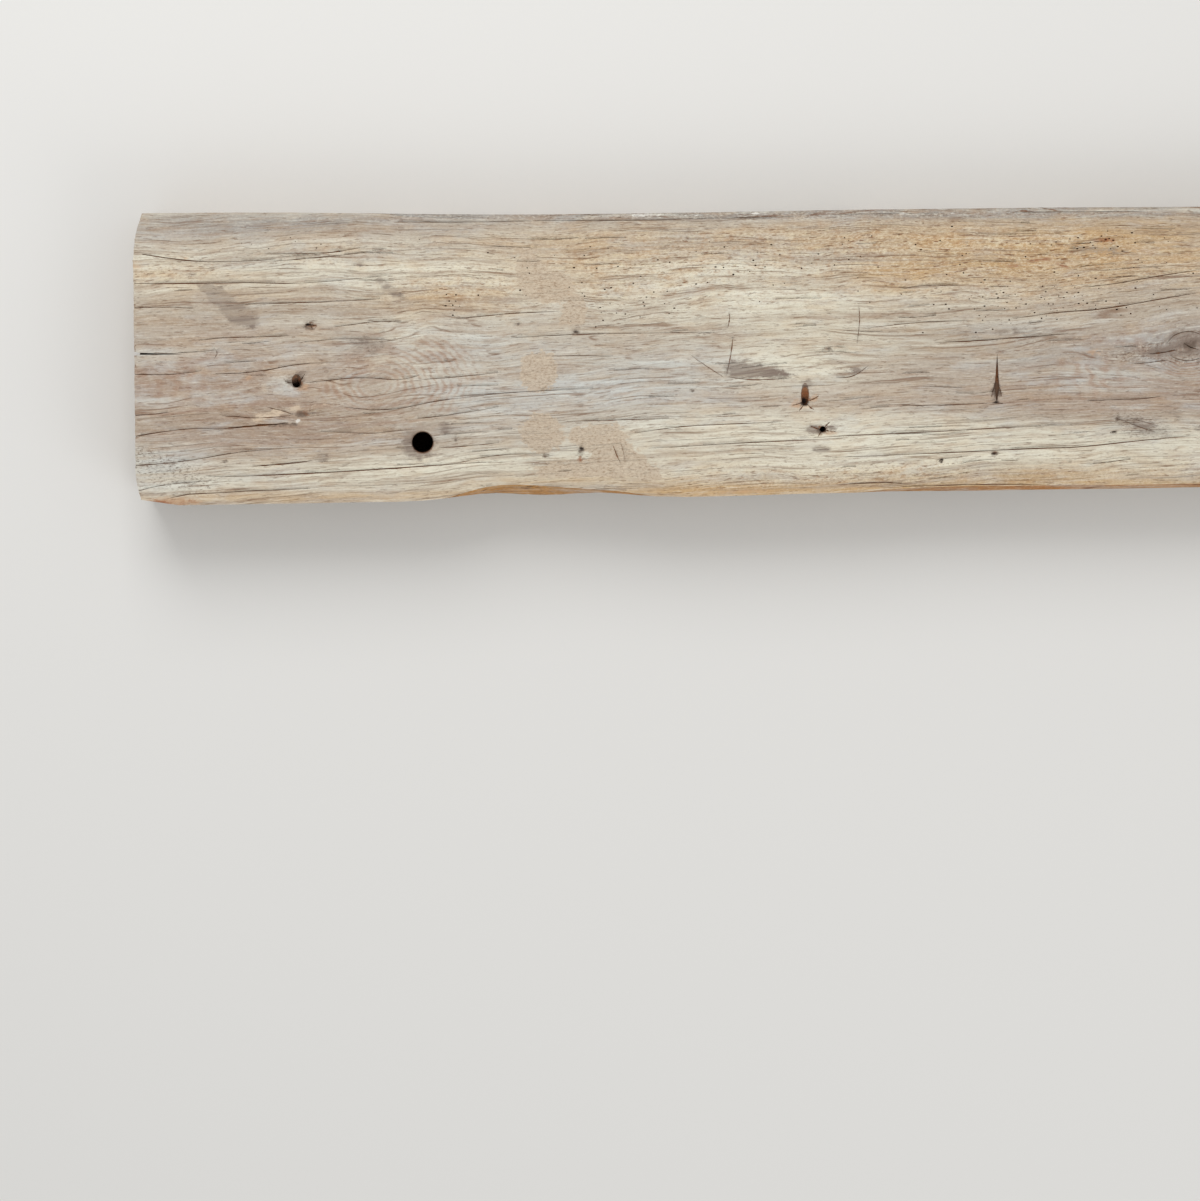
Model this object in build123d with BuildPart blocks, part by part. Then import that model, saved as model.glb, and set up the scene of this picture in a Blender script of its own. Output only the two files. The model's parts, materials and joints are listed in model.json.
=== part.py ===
"""A sawn oak plank with a waney lower edge, a peg hole, old nail holes and an end shake.

It lies on its back face: +X runs along the grain, +Y across the face towards the upper edge,
and +Z out of the face. Stations are counted in millimetres from the butt end, and heights
across the face from the lower edge.
"""
from build123d import *
import os
from math import cos, radians, sin

# Sawn size
LENGTH = 2400.0
WIDTH = 329.0
THICKNESS = 100.0
BACK_ARRIS = 2.5

# Butt end, cut a little out of square, with its two corners knocked off
BUTT_SKEW = 4.5
UPPER_CHIP_HEIGHT = 52.0
UPPER_CHIP_LENGTH = 16.5
UPPER_CHIP_BULGE = 3.5
LOWER_CHIP_HEIGHT = 46.0
LOWER_CHIP_DEPTH = 5.5
LOWER_CHIP_TOE = 7.0
LOWER_CHIP_LENGTH = 49.0

# Sawn edges that wander off the straight line, as station and inset
STRAIGHT_LOWER_END = 300.0
LOWER_WANDER = [(368, 4.5), (408, 6.6), (445, 4), (482, 3.6), (526, 6), (575, 2.6), (690, 0.4), (760, 1.6),
                (940, 1.2), (1120, 0.8), (1290, 1), (1450, 5), (1690, 2), (1920, 4.5), (2180, 1.5)]
STRAIGHT_UPPER_END = 110.0
UPPER_WANDER = [(280, 2), (410, 4), (550, 4.2), (720, 2.6), (920, 1), (1180, 0.6), (1420, 2), (1700, 3.6),
                (1980, 1.2), (2220, 1.8)]
FAR_RUN = 60.0

# Line on the face where the log's own surface comes in under the lower edge, as station and height
LOG_LINE = [(180, -5), (300, -3), (345, 3), (398, 16.5), (443, 18.2), (496, 14), (556, 8.4), (604, 1), (664, -4),
            (764, -3), (850, 5), (950, 8.6), (1116, 7.6), (1236, 7), (1400, 11), (1570, 15), (1740, 7), (1840, -3),
            (1990, -4), (2090, 4), (2240, 9)]
WANE_SLOPE = 64.0
WANE_REACH = 70.0
WANE_CROWN = 2.5

# Line on the face below which the weathered upper arris is worn away, as station and drop
WORN_LINE = [(150, -4), (240, -1.5), (300, 6), (370, 10), (470, 11.4), (560, 11.2), (720, 9.8), (900, 8.2),
             (1200, 7.6), (1500, 9), (1800, 10), (2100, 7.6), (2260, 8)]
WORN_SLOPE = 34.0
WORN_REACH = 30.0
WORN_CROWN = 0.8
CUTTER_OVERRUN = 12.0

# Peg hole, drilled square into the face and blind
PEG_HOLE_STATION = 326.0
PEG_HOLE_HEIGHT = 67.5
PEG_HOLE_DIAMETER = 24.0
PEG_HOLE_FLOOR = 30.0

# Straight nail hole
NAIL_HOLE_STATION = 788.5
NAIL_HOLE_HEIGHT = 76.0
NAIL_HOLE_DIAMETER = 7.0
NAIL_HOLE_DEPTH = 42.0

# Two holes torn by nails that went in at a slant, as station, height, diameter, slant and depth
TORN_HOLE_LONG = (767.5, 117.0, 9.2, 21.0, 44.0)
TORN_HOLE_SHORT = (184.5, 139.5, 10.5, 45.0, 30.0)

# Pointed cut across the grain
GASH_STATION = 992.5
GASH_TOP = 161.0
GASH_WIDEST = 121.0
GASH_BOTTOM = 104.0
GASH_WIDTH = 5.6
GASH_DEPTH = 11.0

# Shake that opens the butt end along the grain
SHAKE_HEIGHT = 172.5
SHAKE_LENGTH = 58.0
SHAKE_MOUTH = 3.2
SHAKE_DEPTH = 62.0


def along(station):
    """Place along the plank of a station counted from the butt end."""
    return station - LENGTH / 2


def across(height):
    """Place across the face of a height counted from the lower edge."""
    return height - WIDTH / 2


def placed(station, height):
    """Point on the face of a station and a height."""
    return (along(station), across(height))


def kept(line, end):
    """Points of a line that lie short of the far end's last run."""
    return [point for point in line if point[0] < LENGTH - end]


# Outline of the face, drawn round from the lower edge
with BuildSketch() as face_outline:
    with BuildLine() as rim:
        lower_start = Line(placed(LOWER_CHIP_LENGTH, 0), placed(STRAIGHT_LOWER_END, 0))
        lower_points = kept(LOWER_WANDER, FAR_RUN)
        lower_line = [placed(station, inset) for station, inset in lower_points]
        lower_far = placed(LENGTH, lower_points[-1][1])
        Spline([lower_start @ 1, *lower_line, lower_far], tangents=[(1, 0), (1, 0)])
        upper_points = kept(UPPER_WANDER, FAR_RUN)
        upper_line = [placed(station, WIDTH - inset) for station, inset in upper_points]
        upper_far = placed(LENGTH, WIDTH - upper_points[-1][1])
        Line(lower_far, upper_far)
        straight_upper = placed(STRAIGHT_UPPER_END, WIDTH)
        Spline([straight_upper, *upper_line, upper_far], tangents=[(1, 0), (1, 0)])
        upper_toe = placed(UPPER_CHIP_LENGTH, WIDTH)
        Line(upper_toe, straight_upper)
        upper_heel = placed(BUTT_SKEW, WIDTH - UPPER_CHIP_HEIGHT)
        upper_mid = placed(BUTT_SKEW + UPPER_CHIP_BULGE, WIDTH - UPPER_CHIP_HEIGHT / 2)
        ThreePointArc(upper_heel, upper_mid, upper_toe)
        lower_heel = placed(0, LOWER_CHIP_HEIGHT)
        Line(lower_heel, upper_heel)
        lower_toe = placed(LOWER_CHIP_DEPTH, LOWER_CHIP_TOE)
        lower_mid = placed(LOWER_CHIP_DEPTH / 4, LOWER_CHIP_HEIGHT / 2)
        ThreePointArc(lower_heel, lower_mid, lower_toe)
        Line(lower_toe, lower_start @ 0)
    make_face()


def edge_cutter(line, side, slope, reach, crown):
    """Bar that follows a line on the face and takes off what lies outside the log's surface there.

    side is 1 for the lower edge and -1 for the upper one. slope is the surface's angle to the face.
    """
    rim_height = 0 if side > 0 else WIDTH
    points = kept(line, FAR_RUN)
    route = [(along(-CUTTER_OVERRUN), across(rim_height + side * points[0][1]), THICKNESS)]
    route += [(along(station), across(rim_height + side * inset), THICKNESS) for station, inset in points]
    route.append((along(LENGTH + CUTTER_OVERRUN), across(rim_height + side * points[-1][1]), THICKNESS))
    step_y = -side * cos(radians(slope))
    step_z = -sin(radians(slope))
    with BuildPart() as cutter:
        with BuildLine() as route_line:
            Spline(route, tangents=[(1, 0, 0), (1, 0, 0)])
        start = route_line.line @ 0
        head = (start.Y - step_y * CUTTER_OVERRUN, start.Z - step_z * CUTTER_OVERRUN)
        tail = (start.Y + step_y * reach, start.Z + step_z * reach)
        middle_y = (head[0] + tail[0]) / 2 + side * step_z * crown
        middle_z = (head[1] + tail[1]) / 2 - side * step_y * crown
        with BuildSketch(Plane.YZ.offset(start.X)):
            with BuildLine():
                ThreePointArc(head, (middle_y, middle_z), tail)
                Polyline(tail, (tail[0], head[1]), head)
            make_face()
        sweep(path=route_line.line)
    return cutter.part


wane = edge_cutter(LOG_LINE, 1, WANE_SLOPE, WANE_REACH, WANE_CROWN)
worn_arris = edge_cutter(WORN_LINE, -1, WORN_SLOPE, WORN_REACH, WORN_CROWN)


def slanted(station, height, slant):
    """Plane at a point of the face, with its normal leaning out of the face and up across it."""
    lean = radians(slant)
    centre = (along(station), across(height), THICKNESS)
    return Plane(origin=centre, x_dir=(1, 0, 0), z_dir=(0, cos(lean), sin(lean)))


with BuildPart() as plank:
    add(face_outline.sketch)
    extrude(amount=THICKNESS)
    back = plank.faces().sort_by(Axis.Z)[0]
    chamfer(back.edges(), BACK_ARRIS)
    add(wane, mode=Mode.SUBTRACT)
    add(worn_arris, mode=Mode.SUBTRACT)

    with Locations((*placed(PEG_HOLE_STATION, PEG_HOLE_HEIGHT), THICKNESS)):
        Hole(PEG_HOLE_DIAMETER / 2, depth=THICKNESS - PEG_HOLE_FLOOR)
    with Locations((*placed(NAIL_HOLE_STATION, NAIL_HOLE_HEIGHT), THICKNESS)):
        Hole(NAIL_HOLE_DIAMETER / 2, depth=NAIL_HOLE_DEPTH)
    for station, height, diameter, slant, depth in (TORN_HOLE_LONG, TORN_HOLE_SHORT):
        mouth_reach = diameter / 2 / sin(radians(slant))
        with BuildSketch(slanted(station, height, slant).offset(mouth_reach)):
            Circle(diameter / 2)
        extrude(amount=-depth - mouth_reach, mode=Mode.SUBTRACT)

    with BuildSketch(Plane.XY.offset(THICKNESS)):
        with BuildLine():
            Polyline(placed(GASH_STATION, GASH_TOP), placed(GASH_STATION - GASH_WIDTH / 2, GASH_WIDEST),
                     placed(GASH_STATION, GASH_BOTTOM), placed(GASH_STATION + GASH_WIDTH / 2, GASH_WIDEST),
                     close=True)
        make_face()
    extrude(amount=-GASH_DEPTH, mode=Mode.SUBTRACT)
    with BuildSketch(Plane.XY.offset(THICKNESS)):
        with BuildLine():
            Polyline(placed(-CUTTER_OVERRUN, SHAKE_HEIGHT - SHAKE_MOUTH / 2),
                     placed(SHAKE_LENGTH, SHAKE_HEIGHT - SHAKE_MOUTH / 2),
                     placed(-CUTTER_OVERRUN, SHAKE_HEIGHT + SHAKE_MOUTH / 2), close=True)
        make_face()
    extrude(amount=-SHAKE_DEPTH, mode=Mode.SUBTRACT)

plank.part.label = "plank"
os.makedirs("parts", exist_ok=True)
export_step(plank.part, "parts/plank.step")
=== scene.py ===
"""Looks of an old sawn oak plank: its timber, its shakes and worm holes, and its stains.

The plank lies on its back face with the grain along X. Places on it are given as a station, counted
from the butt end, and a height, counted across the face from the lower edge, both in millimetres.
"""
import json
import logging
import math
import random
from collections import Counter
from dataclasses import dataclass, field
from enum import Enum
from typing import Any, Iterable

import bpy
import numpy as np
from mathutils import Euler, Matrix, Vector, noise
from mathutils.bvhtree import BVHTree

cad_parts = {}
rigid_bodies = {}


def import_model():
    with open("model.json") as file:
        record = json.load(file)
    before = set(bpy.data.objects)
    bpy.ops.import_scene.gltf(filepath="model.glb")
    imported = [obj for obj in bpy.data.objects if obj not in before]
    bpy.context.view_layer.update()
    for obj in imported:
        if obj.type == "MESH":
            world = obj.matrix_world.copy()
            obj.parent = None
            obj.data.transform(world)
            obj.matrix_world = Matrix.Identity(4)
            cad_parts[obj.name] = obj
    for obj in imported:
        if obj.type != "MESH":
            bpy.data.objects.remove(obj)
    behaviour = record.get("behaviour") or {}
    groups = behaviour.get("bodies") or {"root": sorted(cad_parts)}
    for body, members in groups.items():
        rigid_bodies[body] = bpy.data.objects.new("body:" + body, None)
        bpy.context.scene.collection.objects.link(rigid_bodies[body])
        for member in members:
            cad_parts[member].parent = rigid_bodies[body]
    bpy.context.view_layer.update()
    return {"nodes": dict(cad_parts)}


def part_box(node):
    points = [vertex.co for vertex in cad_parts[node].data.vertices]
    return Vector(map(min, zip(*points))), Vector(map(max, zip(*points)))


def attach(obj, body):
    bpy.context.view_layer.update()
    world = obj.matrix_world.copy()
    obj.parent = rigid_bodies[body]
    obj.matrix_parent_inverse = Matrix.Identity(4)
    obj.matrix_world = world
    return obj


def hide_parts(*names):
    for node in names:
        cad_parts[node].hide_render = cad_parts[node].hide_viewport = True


log = logging.getLogger("plank")

MM = 0.001
BODY = "root"
NODE = "plank"
Socket = Any
Line = tuple[tuple[float, float], ...]
Shade = tuple[int, int, int]

# Height of the face's middle, and the pith of the log, as its height across the face and above the back
FACE_MIDDLE = 164.5
PITH = (176.5, -62.0)

# Heights between which the face is flat, clear of the waney edge and of the worn arris
FLAT_LOW = 26
FLAT_HIGH = 305

# Stations between which the scattered shakes lie, and the one before which a shake runs out through the butt
FIRST_STATION = 20
LAST_STATION = 2360
OPEN_BEFORE = 15

# Stations and heights between which worms have gone in, in millimetres, and the gap between two holes
WORM_STATIONS = (6, 2390)
WORM_HEIGHTS = (12, 312)
WORM_GAP = 0.004

# Metres from the face and back, from the ends and from the edges within which a surface belongs to them
SKIN = 0.004
END_ZONE = 0.02
EDGE_ZONE = 0.045


def tone(red: int, green: int, blue: int) -> tuple[float, float, float, float]:
    """Turns a colour as a screen shows it into the linear colour that a socket takes.

    Args:
        red: Red from 0 to 255.
        green: Green from 0 to 255.
        blue: Blue from 0 to 255.

    Returns:
        The linear colour with full alpha.
    """
    def linear(level: int) -> float:
        """Linear value of one channel."""
        share = level / 255
        return share / 12.92 if share <= 0.04045 else ((share + 0.055) / 1.055) ** 2.4

    return (linear(red), linear(green), linear(blue), 1.0)


class Region(Enum):
    """Surfaces of the plank that differ in finish, with the index of each one's material."""

    FACE = 0
    EDGE = 1
    END = 2
    WANE = 3
    WORN = 4
    SPLIT = 5


# How far each surface is roughened, in millimetres
ROUGHENING = {Region.FACE: 0.25, Region.EDGE: 0.55, Region.END: 2.6, Region.WANE: 1.3, Region.WORN: 0.8,
              Region.SPLIT: 0.0}


class Side(Enum):
    """Sides of the plank that shakes and worm holes open on, with the way into the timber."""

    FACE = (0, 0, -1)
    BACK = (0, 0, 1)
    LOWER = (0, 1, 0)
    UPPER = (0, -1, 0)
    BUTT = (1, 0, 0)
    FAR = (-1, 0, 0)


@dataclass(frozen=True)
class Shake:
    """A crack that follows the grain.

    Args:
        line: Points of the crack on its side, in millimetres.
        width: Widest opening in millimetres.
        depth: Deepest reach in millimetres.
        side: The side that it opens on.
    """

    line: Line
    width: float
    depth: float
    side: Side = Side.FACE


@dataclass(frozen=True)
class Scatter:
    """Nearly straight shakes strewn over one side, with ranges as least and most.

    Args:
        side: The side.
        count: How many there are.
        lengths: Lengths to choose from.
        levels: Range of their levels.
        bow: Range of how far the middle lies off the start's level.
        rise: How far the end lies above the start.
        widths: Range of their widths.
        depths: Range of their depths.
    """

    side: Side
    count: int
    lengths: tuple[int, ...]
    levels: tuple[float, float]
    bow: tuple[float, float]
    rise: float
    widths: tuple[float, float]
    depths: tuple[float, float]

    def draw(self, pick: random.Random) -> Shake:
        """Draws one shake."""
        length = pick.choice(self.lengths)
        start = pick.uniform(FIRST_STATION, LAST_STATION - length)
        level = pick.uniform(*self.levels)
        middle = (start + length / 2, level + pick.uniform(*self.bow))
        line = ((start, level), middle, (start + length, level + self.rise))
        return Shake(line, pick.uniform(*self.widths), pick.uniform(*self.depths), self.side)


# Shakes of the back and the edges, and the heights of those in each end
SCATTERS = (
    Scatter(Side.BACK, 40, (60, 120, 240), (20, 300), (-3, 5), 4, (0.6, 1.6), (2, 7)),
    Scatter(Side.LOWER, 22, (50, 110, 220), (10, 74), (-2, 2), 0, (0.6, 1.7), (3, 8)),
    Scatter(Side.UPPER, 22, (50, 110, 220), (10, 74), (-2, 2), 0, (0.6, 1.7), (3, 8)),
)
END_SHAKE_HEIGHTS = (34, 63, 88, 121, 148, 199, 232, 259, 296)


@dataclass(frozen=True)
class Swirl:
    """A place where the grain leaves its straight run.

    Args:
        station: Station of its middle.
        height: Height of its middle.
        reach: Half-length along the grain.
        spread: Half-width across it.
        lift: How far the grain lines shift up across the face.
        part: How far they part above and below the middle.
        swell: How far the log's rings swell out there.
    """

    station: float
    height: float
    reach: float
    spread: float
    lift: float = 0.0
    part: float = 0.0
    swell: float = 0.0


@dataclass(frozen=True)
class Stain:
    """A soft patch of a tint.

    Args:
        station: Station of its middle.
        height: Height of its middle.
        reach: Half-length along the grain.
        spread: Half-width across it.
        strength: Tint at its middle.
        turn: Angle from the grain, in degrees.
    """

    station: float
    height: float
    reach: float
    spread: float
    strength: float = 1.0
    turn: float = 0.0

    def share(self, station: np.ndarray, height: np.ndarray) -> np.ndarray:
        """Tint that the patch gives each place."""
        cos, sin = math.cos(math.radians(self.turn)), math.sin(math.radians(self.turn))
        along = ((station - self.station) * cos + (height - self.height) * sin) / self.reach
        across = ((height - self.height) * cos - (station - self.station) * sin) / self.spread
        return self.strength * np.exp(-(along ** 2 + across ** 2))


@dataclass(frozen=True)
class Figure:
    """Rings round a grown-over branch, where the face cuts through them.

    Args:
        station: Station of their middle.
        height: Height of their middle.
        flat: Height of a ring as a share of its length.
        pitch: Spacing of the rings along the grain.
        patches: Where they show.
    """

    station: float
    height: float
    flat: float
    pitch: float
    patches: tuple[Stain, ...]

    def turns(self, station: np.ndarray, height: np.ndarray) -> np.ndarray:
        """Number of rings between the middle and each place."""
        return np.hypot(station - self.station, (height - self.height) / self.flat) / self.pitch


# Where the grain bends on the face
SWIRLS = (
    Swirl(266, 132, 52, 42, swell=4),
    Swirl(345, 158, 60, 60, lift=5, swell=3),
    Swirl(20, 128, 60, 26, swell=5),
    Swirl(112, 150, 44, 24, swell=5),
    Swirl(1221, 167, 150, 62, part=40),
    Swirl(1228, 160, 50, 34, swell=6),
    Swirl(80, 285, 60, 30, lift=-9),
    Swirl(230, 262, 80, 40, lift=3),
    Swirl(720, 150, 160, 40, lift=4, swell=4),
    Swirl(560, 210, 90, 50, lift=-3, swell=3),
    Swirl(1590, 120, 170, 60, lift=8, swell=9),
    Swirl(1985, 210, 26, 15, swell=11),
    Swirl(1985, 210, 140, 60, part=36),
    Swirl(2240, 120, 120, 60, lift=-8, swell=6),
)

# Rings that show on the face
FIGURES = (
    Figure(272, 133, 0.62, 8.5, (Stain(248, 130, 40, 26, 0.9), Stain(338, 146, 50, 46, 1.2))),
    Figure(1216, 138, 0.8, 18, (Stain(1106, 134, 46, 30, 0.9),)),
    Figure(1221, 166, 0.62, 5, (Stain(1226, 148, 44, 34, 1.0),)),
    Figure(-40, 132, 0.7, 17, (Stain(44, 140, 60, 30, 0.6),)),
    Figure(1985, 210, 0.55, 6, (Stain(1985, 210, 56, 36, 0.9),)),
)

# Shakes that show on the face: the end split first, then the long ones and the short ones
SEEN_SHAKES = (
    Shake(((3, 173), (27, 172), (48, 172), (95, 175)), 1.1, 5),
    Shake(((6, 285), (62, 276), (108, 274), (165, 276)), 1.2, 1.8),
    Shake(((154, 282), (219, 283), (265, 289)), 1.4, 1.6),
    Shake(((8, 251), (70, 250), (127, 251), (175, 249), (225, 251), (290, 257)), 1.2, 1.8),
    Shake(((7, 224), (40, 224), (72, 222)), 1.1, 1.2),
    Shake(((121, 226), (215, 228), (284, 231)), 1.3, 1.6),
    Shake(((74, 186), (108, 189), (177, 190)), 1.2, 1.6),
    Shake(((188, 183), (246, 186), (300, 184)), 1.0, 1.0),
    Shake(((224, 199), (275, 205), (313, 204)), 1.1, 1.2),
    Shake(((3, 149), (38, 148), (79, 152)), 1.4, 2.0),
    Shake(((88, 148), (136, 150), (188, 158), (231, 160)), 1.2, 1.8),
    Shake(((193, 137), (256, 142), (303, 139), (326, 145)), 1.2, 1.6),
    Shake(((323, 139), (370, 142), (416, 146)), 1.0, 1.1),
    Shake(((6, 103), (26, 104), (46, 107)), 1.2, 1.5),
    Shake(((5, 80), (62, 87), (97, 86), (172, 91)), 1.1, 1.6),
    Shake(((2, 46), (56, 50), (122, 60), (163, 62)), 1.3, 1.8),
    Shake(((81, 32), (133, 32), (237, 36), (414, 45)), 1.4, 2.2),
    Shake(((5, 18), (36, 24), (92, 28)), 1.2, 1.5),
    Shake(((28, 6), (50, 11), (69, 13), (132, 15), (196, 17)), 1.3, 2.0),
    Shake(((230, 110), (285, 105), (347, 115), (415, 122)), 1.3, 1.9),
    Shake(((308, 93), (360, 99), (415, 107)), 1.1, 1.2),
    Shake(((206, 82), (266, 79), (319, 83)), 1.1, 1.4),
    Shake(((342, 61), (378, 63), (414, 66)), 1.1, 1.2),
    Shake(((358, 119), (445, 124), (522, 127)), 1.2, 1.6),
    Shake(((464, 164), (505, 164), (545, 163)), 1.0, 1.1),
    Shake(((486, 89), (545, 90), (615, 91)), 1.1, 1.4),
    Shake(((563, 74), (622, 81), (689, 84), (741, 85)), 1.3, 1.8),
    Shake(((357, 42), (415, 52), (465, 52)), 1.1, 1.3),
    Shake(((586, 57), (651, 60), (740, 63), (820, 66)), 1.1, 1.5),
    Shake(((360, 207), (433, 213), (487, 215)), 1.2, 1.5),
    Shake(((426, 185), (491, 188), (570, 189), (652, 189)), 1.1, 1.3),
    Shake(((917, 174), (971, 176), (1018, 179), (1078, 183)), 1.6, 2.6),
    Shake(((875, 102), (929, 102), (992, 104)), 1.1, 1.5),
    Shake(((761, 66), (850, 69), (929, 72), (1032, 76), (1095, 78)), 1.1, 1.6),
    Shake(((800, 43), (912, 46), (1032, 50), (1093, 51), (1166, 58), (1235, 63)), 1.4, 2.2),
    Shake(((1095, 105), (1153, 106), (1189, 109)), 1.3, 1.8),
    Shake(((1012, 201), (1060, 207), (1121, 212), (1232, 229)), 1.5, 2.2),
    Shake(((1101, 31), (1128, 33), (1154, 36)), 1.1, 1.5),
    Shake(((842, 192), (890, 197), (967, 200)), 1.1, 1.4),
    Shake(((97, 86), (134, 89), (176, 92)), 2.4, 3.2),
    Shake(((130, 43), (175, 46), (202, 49)), 2.0, 2.4),
)

# Tool marks and torn lines: shallow cuts in any direction
SCRATCHES = (
    Shake(((679, 213), (680, 204), (678, 194)), 1.5, 1.2),
    Shake(((684, 183), (681, 162), (676, 139)), 1.7, 1.3),
    Shake(((635, 163), (652, 151), (674, 137)), 1.4, 1.0),
    Shake(((830, 219), (831, 200), (828, 172)), 1.2, 0.9),
    Shake(((544, 62), (548, 51), (553, 40)), 2.0, 1.6),
    Shake(((553, 64), (556, 54), (558, 44)), 1.0, 0.9),
    Shake(((804, 135), (824, 137), (842, 149)), 1.4, 1.0),
    Shake(((676, 138), (705, 134), (752, 135)), 1.6, 1.2),
    Shake(((95, 175), (96, 171), (93, 166)), 1.2, 1.4),
    Shake(((1172, 158), (1190, 160), (1206, 163)), 2.4, 3.0),
    Shake(((1154, 147), (1172, 148), (1196, 151)), 1.4, 2.0),
    Shake(((1194, 171), (1203, 180), (1220, 184), (1238, 179)), 1.2, 2.0),
    Shake(((1196, 158), (1206, 152), (1222, 150), (1238, 154)), 1.0, 2.0),
    Shake(((1213, 171), (1221, 166), (1232, 163)), 1.6, 2.5),
    Shake(((1133, 84), (1143, 81), (1158, 75), (1182, 67)), 1.4, 1.2),
    Shake(((1150, 84), (1166, 80), (1186, 74)), 1.1, 1.0),
    Shake(((300, 317), (380, 316), (460, 317)), 1.0, 1.6),
    Shake(((455, 317), (560, 317), (650, 318)), 1.2, 1.8),
    Shake(((640, 318), (700, 319), (760, 320)), 1.0, 1.6),
    Shake(((790, 322), (860, 322), (930, 323)), 0.9, 1.4),
    Shake(((1000, 323), (1080, 323), (1170, 323)), 0.9, 1.4),
    Shake(((880, 8), (930, 9), (990, 9), (1050, 8)), 1.2, 2.0),
    Shake(((820, 12), (850, 13), (888, 12)), 1.4, 2.0),
    Shake(((100, 101), (140, 98), (178, 100)), 1.3, 2.0),
    Shake(((150, 110), (166, 106), (181, 101)), 1.2, 1.6),
    Shake(((148, 274), (190, 276), (245, 281), (290, 287)), 1.0, 2.0),
    Shake(((880, 236), (905, 240), (946, 240)), 1.1, 2.0),
    Shake(((1090, 236), (1130, 240), (1180, 248), (1236, 256)), 1.2, 2.0),
    Shake(((768, 108), (761, 106), (752, 104)), 1.8, 2.0),
    Shake(((768, 108), (775, 110), (784, 115)), 1.8, 2.0),
    Shake(((767, 107), (764, 102), (760, 97)), 1.6, 1.6),
    Shake(((769, 107), (773, 102), (778, 99)), 1.6, 1.6),
    Shake(((788, 76), (781, 77), (773, 80)), 2.0, 1.8),
    Shake(((789, 76), (796, 74), (804, 73)), 2.0, 1.8),
    Shake(((788, 76), (785, 71), (782, 67)), 1.6, 1.6),
    Shake(((789, 77), (794, 82), (797, 85)), 1.6, 1.6),
    Shake(((185, 137), (190, 141), (194, 147)), 1.8, 2.0),
    Shake(((184, 137), (178, 137), (171, 139)), 1.6, 1.6),
    Shake(((195, 203), (202, 202), (210, 201)), 2.4, 2.6),
    Shake(((201, 206), (202, 202), (204, 197)), 2.0, 2.2),
    Shake(((991, 124), (988, 118), (986, 110)), 1.8, 2.0),
    Shake(((994, 124), (997, 117), (998, 111)), 1.8, 2.0),
    Shake(((989, 128), (992, 116), (993, 103)), 2.2, 2.4),
    Shake(((985, 104), (992, 104), (1001, 103)), 1.6, 1.6),
)

# Hollows torn or pressed into the face, with their depth as strength
DENTS = (
    Stain(202, 202, 8, 5, 1.7), Stain(794, 168, 6, 3.2, 1.5), Stain(437, 201, 4, 2.6, 1.2),
    Stain(503, 191, 4, 2.6, 1.3), Stain(467, 50, 5, 3, 1.2), Stain(507, 47, 3.4, 4, 1.6),
    Stain(508, 58, 3, 4, 1.3), Stain(211, 52, 9, 5, 0.8), Stain(192, 103, 9, 6, 1.6),
    Stain(160, 104, 24, 4, 0.9, 12), Stain(186, 137, 8, 8, 1.6), Stain(768, 111, 11, 8, 1.6),
    Stain(788, 76, 8, 5, 1.8), Stain(992, 116, 4.5, 10, 1.4), Stain(928, 37, 6, 3, 1.2),
    Stain(991, 45, 6, 2.6, 1.6), Stain(937, 38, 3, 3, 1.2), Stain(1042, 33, 5, 3, 0.9),
    Stain(1081, 35, 4, 2.6, 0.9), Stain(1137, 84, 4, 3, 1.4), Stain(1132, 68, 6, 2.4, 1.2),
    Stain(1221, 167, 26, 12, 0.5), Stain(785, 53, 10, 4, 0.4), Stain(1118, 290, 9, 3, 1.2),
    Stain(364, 71, 3, 4, 0.9), Stain(88, 171, 5, 3, 1.0),
)

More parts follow.
